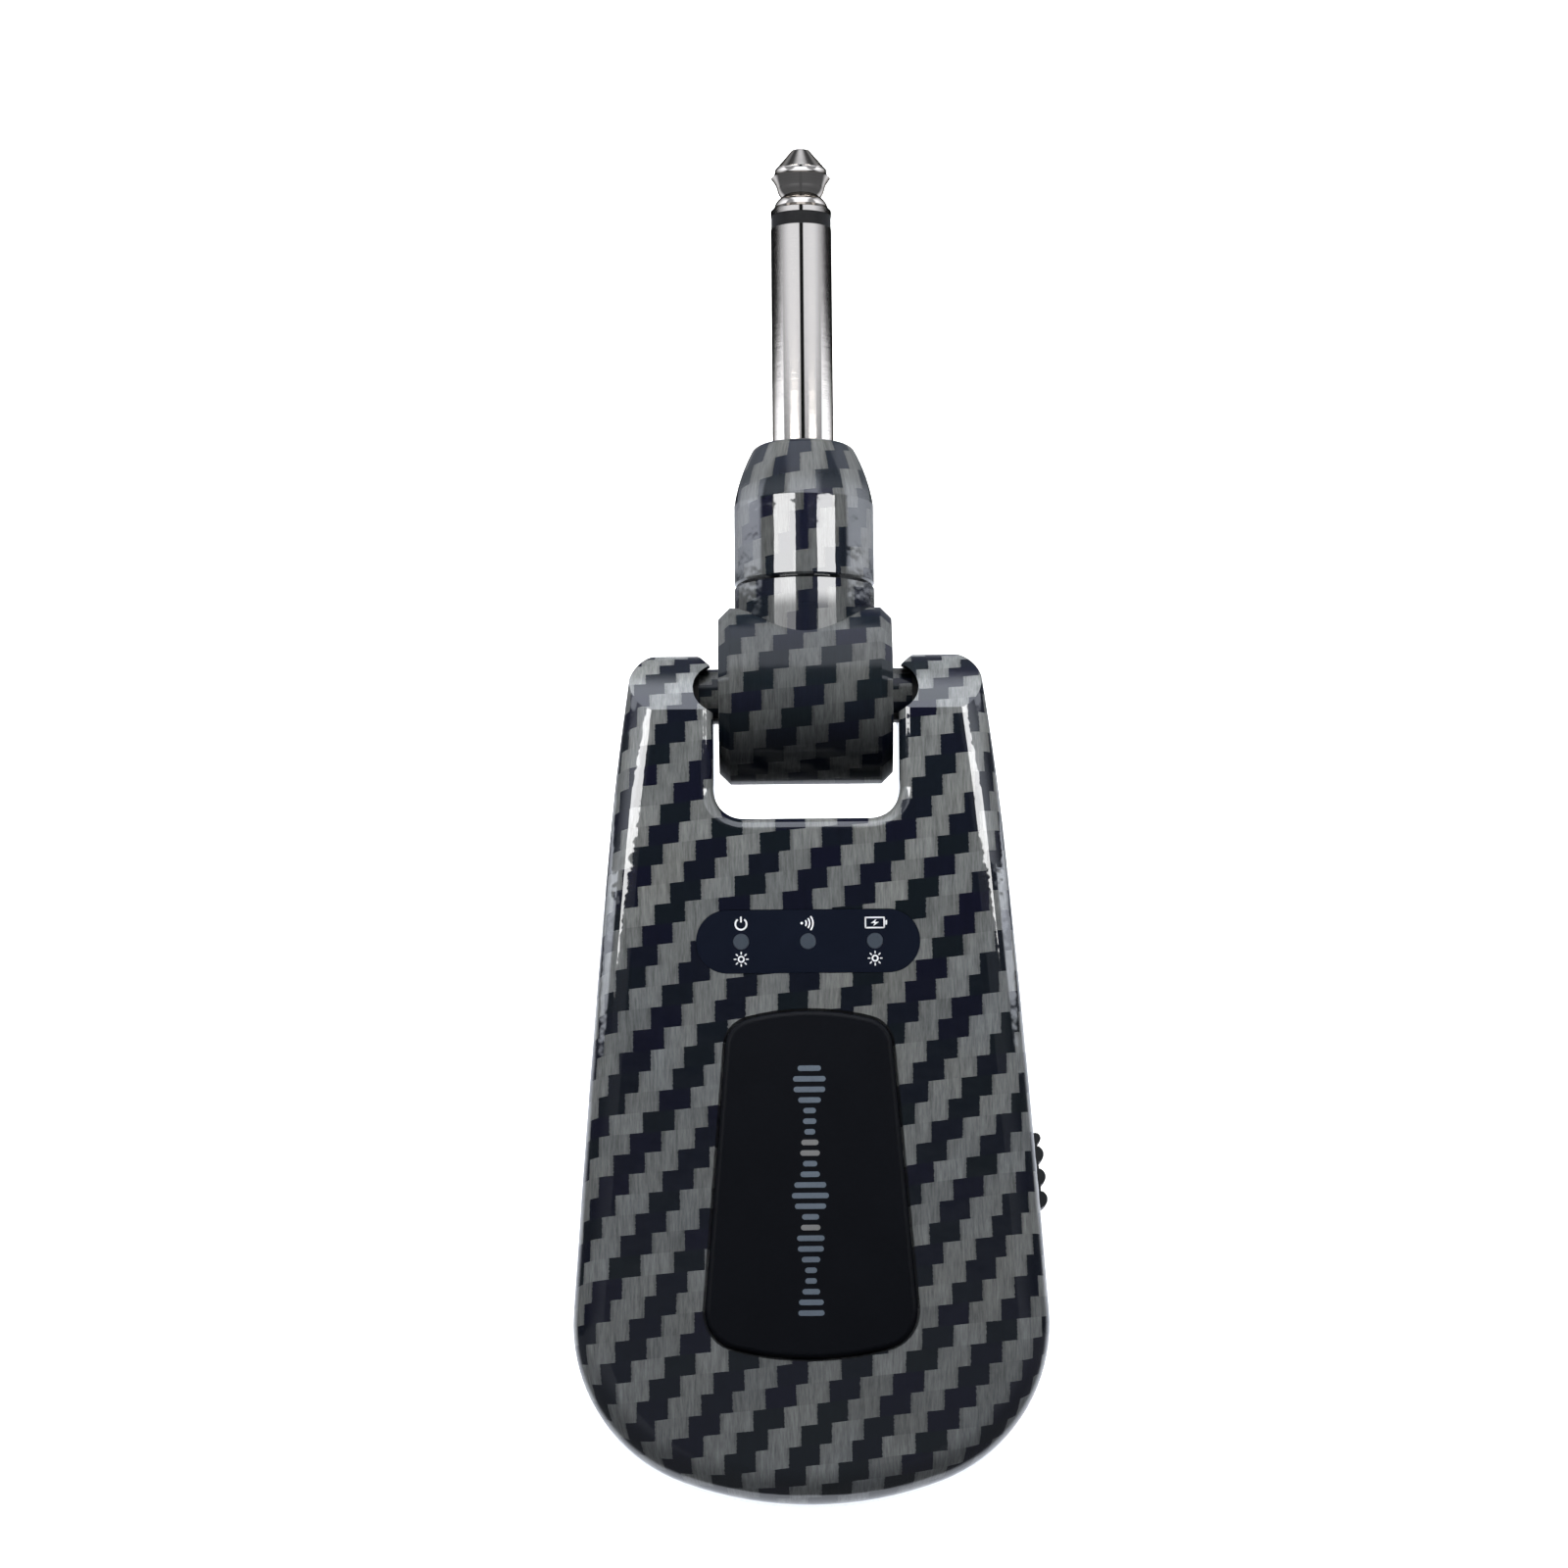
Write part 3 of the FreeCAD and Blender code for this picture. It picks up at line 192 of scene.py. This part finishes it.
def twill(net, u, v, tag):
    """Printed twill: light floats with fibre streaks on a navy ground.
    u and v are surface distances in mm; returns the masks that colour it."""
    # the film stretches a little as it is laid on
    wob = net.noise(net.vec(u, v, tag), 0.05, 1.0)
    wob2 = net.noise(net.vec(v, u, tag + 5.0), 0.05, 1.0)
    uu = net.m("ADD", u, net.m("MULTIPLY", net.m("SUBTRACT", wob, 0.5), 0.9))
    vv = net.m("ADD", v, net.m("MULTIPLY", net.m("SUBTRACT", wob2, 0.5), 0.9))
    vv = net.m("SUBTRACT", net.m("ADD", vv, 0.53), net.m("MULTIPLY", uu, TILT))
    row = net.m("FLOOR", net.m("DIVIDE", vv, ROW))
    # ragged cut ends: each row starts a hair early or late, and its edge is frayed
    jit = net.m("MULTIPLY", net.m("SUBTRACT", net.white(net.vec(row, tag, 3.0)), 0.5), 0.42)
    fray = net.noise(net.vec(net.m("MULTIPLY", uu, 1.3), net.m("MULTIPLY", vv, 5.0), tag), 1.0, 1.0)
    jit = net.m("ADD", jit, net.m("MULTIPLY", net.m("SUBTRACT", fray, 0.5), 0.22))
    run = net.m("SUBTRACT", net.m("ADD", net.m("ADD", uu, 3.2), jit), net.m("MULTIPLY", row, SHIFT))
    phase = net.m("DIVIDE", run, PERIOD)
    fx = net.m("FRACT", phase)
    col = net.m("FLOOR", phase)
    edge = 0.014
    light = net.m("MULTIPLY", net.ramp(fx, 0.0, edge), net.ramp(fx, DUTY, DUTY - edge))
    # fibres run along v
    fine = net.noise(net.vec(net.m("MULTIPLY", uu, 5.2), net.m("MULTIPLY", vv, 0.55), tag), 1.0, 3.0, 0.65)
    wide = net.noise(net.vec(net.m("MULTIPLY", uu, 1.6), net.m("MULTIPLY", vv, 0.10), tag + 2.0), 1.0, 2.0, 0.5)
    fibre = net.m("ADD", net.m("MULTIPLY", fine, 0.65), net.m("MULTIPLY", wide, 0.35))
    fibre = net.ramp(fibre, 0.34, 0.66, 0.62, 1.30, smooth=False)
    cell = net.white(net.vec(row, col, tag))
    patch = net.noise(net.vec(uu, vv, tag + 9.0), 0.09, 2.0)
    # a float dips where it goes under its neighbour
    fy = net.m("FRACT", net.m("DIVIDE", vv, ROW))
    crown = net.m("MULTIPLY", net.ramp(fx, 0.0, 0.10), net.ramp(fx, DUTY, DUTY - 0.10))
    return light, fibre, cell, patch, crown, fy


def carbon(name, mapping, painted_shade_gain=1.0, worn=None):
    mat, net, bsdf = material(
        name, Roughness=0.45, IOR=1.5, Specular_IOR_Level=0.06,
        Coat_Weight=1.0, Coat_Roughness=0.03, Coat_IOR=1.9)
    pos, nor = net.coords()
    px, py, pz = net.xyz(net.scale(pos, 1000.0))
    u, v, tag = mapping(net, px, py, pz, nor)
    light, fibre, cell, patch, crown, fy = twill(net, u, v, tag)
    warm = net.mix(patch, (0.128, 0.138, 0.145, 1.0), (0.162, 0.163, 0.150, 1.0))
    tone = net.ramp(cell, 0.0, 1.0, 0.84, 1.14, smooth=False)
    # the gain darkens the light floats; on the arm and nose that darkening is painted shade
    lit = net.scale(net.scale(warm, fibre), net.m("MULTIPLY", net.m("MULTIPLY", tone, painted_shade_gain), net.ramp(crown, 0.0, 1.0, 0.80, 1.04)))
    dark_a = net.mix(cell, (0.0042, 0.0046, 0.0135, 1.0), (0.0048, 0.0080, 0.0105, 1.0))
    dark = net.scale(dark_a, net.ramp(fibre, 0.62, 1.30, 0.82, 1.18, smooth=False))
    colour = net.mix(light, dark, lit)
    net.put(bsdf.inputs["Base Color"], colour)
    # threads stand a hair under the coat; the coat itself has a faint orange peel
    net.put(bsdf.inputs["Normal"], net.bump(net.m("MULTIPLY", light, fibre), 0.25, 0.00003))
    peel = net.noise(net.scale(pos, 1000.0), 0.50, 2.0, 0.4)
    net.put(bsdf.inputs["Coat Normal"], net.bump(peel, 0.16, 0.00010))
    if worn:
        # the coat is thinner on one end of the piece
        net.put(bsdf.inputs["Coat Weight"], net.ramp(py, *worn))
    return mat


def map_front(net, px, py, pz, nor):
    """Laid over the front face and rolled down its sides."""
    nx, ny, _ = net.xyz(nor)
    drop = net.m("SUBTRACT", 17.5, pz)
    u = net.m("ADD", px, net.m("MULTIPLY", nx, drop))
    v = net.m("ADD", py, net.m("MULTIPLY", ny, drop))
    return u, net.m("SUBTRACT", v, 43.0), 0.0


def map_rear(net, px, py, pz, nor):
    nx, ny, _ = net.xyz(nor)
    u = net.m("ADD", net.m("MULTIPLY", px, -1.0), net.m("MULTIPLY", net.m("MULTIPLY", nx, pz), -1.0))
    v = net.m("ADD", py, net.m("MULTIPLY", ny, pz))
    return u, v, 3.0


def map_arm(net, px, py, pz, nor):
    """Rolled round the drum about X, and round the collar about Y; flat on the drum's ends."""
    nx, _, _ = net.xyz(nor)
    y = net.m("SUBTRACT", py, 43.0)
    z = net.m("SUBTRACT", pz, 9.8)
    rad = net.m("SQRT", net.m("ADD", net.m("MULTIPLY", y, y), net.m("MULTIPLY", z, z)))
    around_x = net.m("MULTIPLY", net.m("ARCTAN2", y, z), 9.15)
    around_y = net.m("MULTIPLY", net.m("ARCTAN2", px, z), 7.25)
    collar = net.m("GREATER_THAN", rad, 9.22)
    u = net.m("ADD", net.m("MULTIPLY", px, net.m("SUBTRACT", 1.0, collar)), net.m("MULTIPLY", around_y, collar))
    v = net.m("ADD", net.m("MULTIPLY", around_x, net.m("SUBTRACT", 1.0, collar)), net.m("MULTIPLY", y, collar))
    end = net.m("MULTIPLY", net.m("GREATER_THAN", net.m("ABSOLUTE", nx), 0.90), net.m("SUBTRACT", 1.0, collar))
    keep = net.m("SUBTRACT", 1.0, end)
    u = net.m("ADD", net.m("MULTIPLY", u, keep), net.m("MULTIPLY", z, end))
    v = net.m("ADD", net.m("MULTIPLY", v, keep), net.m("MULTIPLY", y, end))
    return u, v, 6.0


def map_nose(net, px, py, pz, nor):
    y = net.m("SUBTRACT", py, 43.0)
    z = net.m("SUBTRACT", pz, 9.8)
    u = net.m("MULTIPLY", net.m("ARCTAN2", px, z), 7.25)
    return u, y, 8.0


assign(NODES["front_shell"], carbon("carbon_front", map_front))
assign(NODES["rear_shell"], carbon("carbon_rear", map_rear))
# the arm and nose prints get a gain of 0.45 and 0.46: painted shade that makes them darker than the case's print
assign(NODES["hinge_arm"], carbon("carbon_arm", map_arm, 0.45, (51.0, 53.0, 0.25, 1.0)))
assign(NODES["nose_cap"], carbon("carbon_nose", map_nose, 0.46, (63.5, 65.5, 1.0, 0.35)))


# ------------------------------------------------------------------ simple finishes
def plastic(name, colour, rough, grain=1.0, spec=0.5, coat=0.0, scale=6.0, var=0.12):
    mat, net, bsdf = material(name, Roughness=rough, Specular_IOR_Level=spec, Coat_Weight=coat,
                              Coat_Roughness=0.08)
    pos, _ = net.coords()
    p = net.scale(pos, 1000.0)
    n = net.noise(p, scale, 3.0, 0.6)
    big = net.noise(p, 0.25, 2.0, 0.5)
    k = net.ramp(net.m("ADD", net.m("MULTIPLY", n, 0.5), net.m("MULTIPLY", big, 0.5)), 0.3, 0.7,
                 1.0 - var, 1.0 + var, smooth=False)
    net.put(bsdf.inputs["Base Color"], net.scale(tuple(colour), k))
    net.put(bsdf.inputs["Roughness"], net.ramp(n, 0.3, 0.7, rough * 0.9, min(1.0, rough * 1.12), smooth=False))
    net.put(bsdf.inputs["Normal"], net.bump(n, 0.18 * grain, 0.00003))
    return mat


def metal(name, colour, rough, lines=None, var=0.06):
    mat, net, bsdf = material(name, Metallic=1.0, Roughness=rough, Specular_Tint=(0.0, 0.0, 0.0, 1.0))
    pos, _ = net.coords()
    p = net.scale(pos, 1000.0)
    x, y, z = net.xyz(p)
    if lines == "turned":
        n = net.noise(net.vec(0.0, net.m("MULTIPLY", y, 14.0), 0.0), 1.0, 3.0, 0.6)
    elif lines == "drawn":
        n = net.noise(net.vec(net.m("MULTIPLY", x, 7.0), net.m("MULTIPLY", y, 0.4), net.m("MULTIPLY", z, 7.0)), 1.0, 3.0, 0.6)
    else:
        n = net.noise(p, 4.0, 3.0, 0.6)
    net.put(bsdf.inputs["Base Color"], net.scale(tuple(colour), net.ramp(n, 0.3, 0.7, 1.0 - var, 1.0 + var, smooth=False)))
    net.put(bsdf.inputs["Roughness"], net.ramp(n, 0.3, 0.7, rough * 0.85, rough * 1.2, smooth=False))
    net.put(bsdf.inputs["Normal"], net.bump(n, 0.06, 0.00002))
    return mat


FINISH = {
    "badge_plate": plastic("badge_satin", (0.0048, 0.0054, 0.0074), 0.33, 0.6, spec=0.10),
    "indicator_window": plastic("window_smoke", (0.0062, 0.0084, 0.0160), 0.14, 0.1, spec=0.3),
    "power_light_pipe": plastic("lens_frost", (0.046, 0.058, 0.074), 0.35, 0.4, spec=0.3),
    "plug_sleeve": metal("plug_nickel", (0.74, 0.69, 0.635), 0.07, "turned"),
    "tip_insulator": plastic("nylon_black", (0.006, 0.006, 0.0065), 0.5, spec=0.2),
    "rear_insulator": plastic("nylon_black_rear", (0.012, 0.012, 0.013), 0.45),
    "plug_nut": metal("brass_nut", (0.72, 0.52, 0.24), 0.25),
    "pivot_bush_left": metal("brass_bush", (0.74, 0.54, 0.26), 0.22),
    "friction_washer_left": plastic("rubber_black", (0.012, 0.012, 0.012), 0.8),
    "switch_knob": plastic("knob_black", (0.016, 0.017, 0.019), 0.45, 1.2),
    "switch_lever": plastic("lever_black", (0.015, 0.015, 0.015), 0.5),
    "slide_switch_body": metal("tin_switch", (0.62, 0.62, 0.61), 0.3),
    "usb_socket": metal("socket_steel", (0.55, 0.55, 0.56), 0.25, "drawn"),
    "radio_shield": metal("tin_shield", (0.64, 0.64, 0.63), 0.32),
    "main_board": plastic("solder_mask", (0.010, 0.085, 0.040), 0.35, 0.5, coat=0.5),
    "power_led": plastic("led_resin", (0.75, 0.74, 0.66), 0.2),
    "codec_chip": plastic("chip_epoxy", (0.014, 0.014, 0.015), 0.55),
    "antenna": plastic("ceramic", (0.70, 0.69, 0.64), 0.3),
    "battery_cell": metal("pouch_foil", (0.60, 0.61, 0.62), 0.38),
    "battery_pad": plastic("foam_tape", (0.68, 0.68, 0.65), 0.9, 2.0),
    "battery_leads": plastic("wire_red", (0.42, 0.012, 0.010), 0.45),
    "board_wires": plastic("wire_black", (0.013, 0.013, 0.013), 0.45),
    "shell_screws": metal("screw_black", (0.10, 0.10, 0.105), 0.35),
}
SAME = {
    "ir_lens": "power_light_pipe", "charging_light_pipe": "power_light_pipe", "plug_tip": "plug_sleeve",
    "sleeve_lug": "plug_nut", "tip_lug": "plug_nut", "pivot_bush_right": "pivot_bush_left",
    "friction_washer_right": "friction_washer_left", "charging_led": "power_led",
    "ir_receiver": "codec_chip", "charger_chip": "codec_chip", "tip_wire": "battery_leads",
    "sleeve_wire": "board_wires", "board_screws": "shell_screws",
}
for n, o in NODES.items():
    key = SAME.get(n, n)
    if key in FINISH:
        assign(o, FINISH[key])


# ------------------------------------------------------------------ printed marks
def disc_arc(cx, cy, r0, r1, a0, a1, n=20):
    """Band of a ring, as quads."""
    pts = []
    for i in range(n + 1):
        a = math.radians(a0 + (a1 - a0) * i / n)
        pts.append(((cx + r0 * math.cos(a), cy + r0 * math.sin(a)),
                    (cx + r1 * math.cos(a), cy + r1 * math.sin(a))))
    return [[pts[i][0], pts[i][1], pts[i + 1][1], pts[i + 1][0]] for i in range(n)]


def pill(cx, cy, w, h, n=6):
    """Bar with round ends."""
    r = min(w, h) * 0.5
    ring = []
    for sx, sy, a0 in ((1, 1, 0), (-1, 1, 90), (-1, -1, 180), (1, -1, 270)):
        for i in range(n + 1):
            a = math.radians(a0 + 90.0 * i / n)
            ring.append((cx + sx * (w * 0.5 - r) + r * math.cos(a), cy + sy * (h * 0.5 - r) + r * math.sin(a)))
    out = []
    for q in ring:
        if not out or (abs(q[0] - out[-1][0]) + abs(q[1] - out[-1][1])) > 1e-6:
            out.append(q)
    if (abs(out[0][0] - out[-1][0]) + abs(out[0][1] - out[-1][1])) < 1e-6:
        out.pop()
    return [out]


def spin(polys, cx, cy, deg):
    a = math.radians(deg)
    ca, sa = math.cos(a), math.sin(a)
    return [[(cx + (x - cx) * ca - (y - cy) * sa, cy + (x - cx) * sa + (y - cy) * ca) for x, y in p] for p in polys]


def ink(name, polys, top, thick, mat):
    """A thin raised print: closed little slabs in mm, lying at height top."""
    bm = bmesh.new()
    for p in polys:
        area = sum(p[i][0] * p[(i + 1) % len(p)][1] - p[(i + 1) % len(p)][0] * p[i][1] for i in range(len(p)))
        if area < 0:
            p = p[::-1]
        lo = [bm.verts.new((x * MM, y * MM, (top - 0.03) * MM)) for x, y in p]
        hi = [bm.verts.new((x * MM, y * MM, (top + thick) * MM)) for x, y in p]
        bm.faces.new(hi)
        bm.faces.new(lo[::-1])
        for i in range(len(p)):
            j = (i + 1) % len(p)
            bm.faces.new((lo[i], lo[j], hi[j], hi[i]))
    bmesh.ops.remove_doubles(bm, verts=bm.verts, dist=1e-7)
    me = bpy.data.meshes.new(name)
    bm.to_mesh(me)
    bm.free()
    o = bpy.data.objects.new(name, me)
    scene.collection.objects.link(o)
    assign(o, mat)
    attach(o, "housing")
    return o


ink_white = plastic("ink_white", (0.78, 0.79, 0.80), 0.5, 0.8, spec=0.2, scale=9.0, var=0.10)
ink_grey = plastic("ink_steel_blue", (0.120, 0.148, 0.180), 0.42, 0.8, spec=0.3, scale=9.0, var=0.16)
ink_pale = plastic("ink_pale", (0.200, 0.200, 0.196), 0.45, 0.8, spec=0.3, scale=9.0, var=0.16)

WIN_Y = 43.0 - 26.6
ROW_UP, ROW_LOW = WIN_Y + 1.85, WIN_Y - 1.80


def lamp(cx, cy):
    """Small lamp sign: a ring with eight rays."""
    out = disc_arc(cx, cy, 0.20, 0.36, 0, 360, 24)
    for i in range(8):
        out += spin(pill(cx, cy + 0.62, 0.13, 0.30), cx, cy, 45.0 * i)
    return out


signs = disc_arc(-6.8, ROW_UP - 0.05, 0.48, 0.66, -235, 55, 30) + pill(-6.8, ROW_UP + 0.42, 0.17, 0.62)
signs += lamp(-6.8, ROW_LOW)
signs += pill(-0.62, ROW_UP, 0.26, 0.26)
for k in range(3):
    signs += disc_arc(-0.62, ROW_UP, 0.38 + 0.34 * k, 0.54 + 0.34 * k, -38, 38, 14)
bx, by = 6.8, ROW_UP
signs += pill(bx, by + 0.52, 2.0, 0.15) + pill(bx, by - 0.52, 2.0, 0.15)
signs += pill(bx - 0.95, by, 0.15, 1.16) + pill(bx + 0.95, by, 0.15, 1.16) + pill(bx + 1.16, by, 0.18, 0.5)
signs += [[(bx + 0.16, by + 0.36), (bx - 0.42, by - 0.06), (bx - 0.02, by - 0.06), (bx - 0.16, by - 0.36),
           (bx + 0.42, by + 0.06), (bx + 0.02, by + 0.06)]]
signs += lamp(6.8, ROW_LOW)
ink("window_signs", signs, 17.5, 0.015, ink_white)

# a plain level meter runs down the plate
grey, red = [], []
for i in range(24):
    cy = 43.0 - 39.6 - 1.075 * i
    w = 1.1 + 2.7 * abs(math.sin(0.62 * i + 0.5) * math.cos(0.23 * i + 0.2))
    (red if i in (7, 8, 15) else grey).extend(pill(0.0, cy, w, 0.56))
ink("meter_bars", grey, 17.8, 0.02, ink_grey)
ink("meter_peaks", red, 17.8, 0.02, ink_pale)


# ------------------------------------------------------------------ floor and light
def floor():
    bm = bmesh.new()
    bmesh.ops.create_grid(bm, x_segments=2, y_segments=2, size=3.0)
    me = bpy.data.meshes.new("floor")
    bm.to_mesh(me)
    bm.free()
    o = bpy.data.objects.new("floor", me)
    scene.collection.objects.link(o)
    # low enough for the plug to fold back past the case
    o.location = (0.0, 0.0, -0.055)
    mat, net, bsdf = material("floor_white", Roughness=0.95, Specular_IOR_Level=0.0)
    pos, _ = net.coords()
    n = net.noise(pos, 3.0, 2.0)
    col = net.scale((0.90, 0.90, 0.90), net.ramp(n, 0.0, 1.0, 0.99, 1.01, smooth=False))
    net.put(bsdf.inputs["Base Color"], col)
    # a light-box floor, so that it stays pale right up to the object
    net.put(bsdf.inputs["Emission Color"], col)
    bsdf.inputs["Emission Strength"].default_value = 0.88
    assign(o, mat)
    o.visible_glossy = False


def backdrop():
    """Plain pale dome behind everything; it neither lights the object nor shows in it."""
    bm = bmesh.new()
    bmesh.ops.create_uvsphere(bm, u_segments=48, v_segments=24, radius=2.9)
    bmesh.ops.reverse_faces(bm, faces=bm.faces)
    me = bpy.data.meshes.new("backdrop")
    bm.to_mesh(me)
    bm.free()
    o = bpy.data.objects.new("backdrop", me)
    scene.collection.objects.link(o)
    mat, net, bsdf = material("backdrop_white", Roughness=1.0, Specular_IOR_Level=0.0)
    pos, _ = net.coords()
    n = net.noise(pos, 1.0, 1.0)
    col = net.scale((0.97, 0.97, 0.97), net.ramp(n, 0.0, 1.0, 0.99, 1.01, smooth=False))
    bsdf.inputs["Base Color"].default_value = (0.0, 0.0, 0.0, 1.0)
    net.put(bsdf.inputs["Emission Color"], col)
    bsdf.inputs["Emission Strength"].default_value = 1.0
    assign(o, mat)
    for flag in ("visible_diffuse", "visible_glossy", "visible_transmission", "visible_shadow",
                 "visible_volume_scatter"):
        setattr(o, flag, False)


def world():
    """What the gloss sees: a dark slot straight above, tall soft cards beyond the plug,
    a pale ring of cards low down on both sides, and dark towards the foot."""
    w = bpy.data.worlds.new("world")
    scene.world = w
    w.use_nodes = True
    net = Net(w.node_tree)
    bg = w.node_tree.nodes["Background"]
    tc = net.new("ShaderNodeTexCoord")
    x, y, z = net.xyz(tc.outputs["Generated"])
    side = net.m("ARCTAN2", net.m("ABSOLUTE", x), z)
    along = net.m("ARCTAN2", y, z)
    # straight above
    slot = net.m("MAXIMUM", net.ramp(side, 0.085, 0.165, 0.0, 1.0), net.ramp(y, 0.50, 0.60, 0.0, 1.0))
    haze = net.ramp(along, 0.045, 0.140, 0.10, 0.008)
    # cards beyond the plug
    far = net.ramp(y, 0.210, 0.218, 0.0, 1.0)
    tall = net.m("MULTIPLY", net.ramp(side, 0.75, 2.00, 1.0, 0.015), 0.98)
    tall = net.m("MULTIPLY", tall, net.ramp(y, 0.36, 0.26, 0.35, 1.0))
    near = net.ramp(side, 0.30, 1.45, 0.10, 0.02)
    upper = net.m("ADD", net.m("MULTIPLY", near, net.m("SUBTRACT", 1.0, far)), net.m("MULTIPLY", tall, far))
    upper = net.m("MULTIPLY", upper, slot)
    upper = net.m("MULTIPLY", upper, net.ramp(y, -0.45, -0.05, 0.15, 1.0))
    # low ring
    gate = net.m("MULTIPLY", net.ramp(side, 1.25, 1.42, 0.0, 1.0), net.ramp(side, 1.50, 2.80, 2.2, 0.5))
    ears = net.ramp(y, 0.285, 0.300, 0.0, 0.6)
    ears = net.m("MULTIPLY", ears, net.ramp(y, 0.90, 0.70, 0.06, 1.0))
    flank = net.m("MULTIPLY", net.ramp(y, 0.185, 0.197, 0.0, 1.0), net.ramp(y, 0.207, 0.214, 0.84, 1.20))
    flank = net.m("MULTIPLY", flank, net.ramp(y, 0.226, 0.219, 0.0, 1.0))
    ring = net.m("MULTIPLY", net.m("MAXIMUM", ears, flank), gate)
    hem = net.m("MULTIPLY", net.ramp(side, 1.95, 2.45, 0.0, 1.0), net.ramp(y, 0.185, 0.165, 0.0, 1.0))
    low = net.m("MULTIPLY", net.m("MAXIMUM", ring, hem), 1.15)
    # pale card behind the head
    head = net.m("MULTIPLY", net.ramp(z, 0.93, 0.82, 0.0, 1.6), net.ramp(y, 0.38, 0.52, 0.0, 1.0))
    head = net.m("MULTIPLY", head, net.ramp(z, -0.20, 0.05, 0.05, 1.0))
    head = net.m("MULTIPLY", head, net.ramp(net.m("ABSOLUTE", x), 0.30, 0.50, 1.0, 0.22))
    k = net.m("ADD", net.m("MAXIMUM", net.m("MAXIMUM", upper, low), head), haze)
    net.put(bg.inputs["Color"], net.scale((0.94, 0.99, 1.09), k))
    bg.inputs["Strength"].default_value = 1.0


def panel(name, pos, target, size_x, size_y, power, glossy=True, diffuse=True, spread=180.0):
    """Softbox at pos, facing target."""
    data = bpy.data.lights.new(name, "AREA")
    data.shape = "RECTANGLE"
    data.size, data.size_y = size_x, size_y
    data.energy = power
    data.spread = math.radians(spread)
    o = bpy.data.objects.new(name, data)
    scene.collection.objects.link(o)
    pos, target = Vector(pos), Vector(target)
    back = (pos - target).normalized()
    right = Vector((0, 1, 0)).cross(back).normalized()
    up = back.cross(right)
    m = Matrix((right, up, back)).transposed().to_4x4()
    m.translation = pos
    o.matrix_world = m
    o.visible_camera = False
    o.visible_glossy = glossy
    o.visible_diffuse = diffuse
    return o


floor()
backdrop()
world()
# key from beyond the plug: it lights the head of the case more than its foot
panel("key", (0.0, 0.160, 0.125), (0.0, 0.130, 0.0), 0.24, 0.08, 0.50, glossy=False, spread=145.0)
panel("fill", (0.0, 0.05, 0.70), (0.0, 0.0, 0.0), 0.6, 0.6, 0.08, glossy=False)
# two wide short softboxes for the streaks down the nose and the shoulders
panel("strip_left", (-math.sin(math.radians(32.5)), 0.246, PIVOT.z + math.cos(math.radians(32.5))),
      (0.0, PIVOT.y, PIVOT.z), 0.66, 0.072, 1.05, diffuse=False)
panel("strip_right", (math.sin(math.radians(37.0)), 0.246, PIVOT.z + math.cos(math.radians(37.0))),
      (0.0, PIVOT.y, PIVOT.z), 0.56, 0.064, 0.80, diffuse=False)
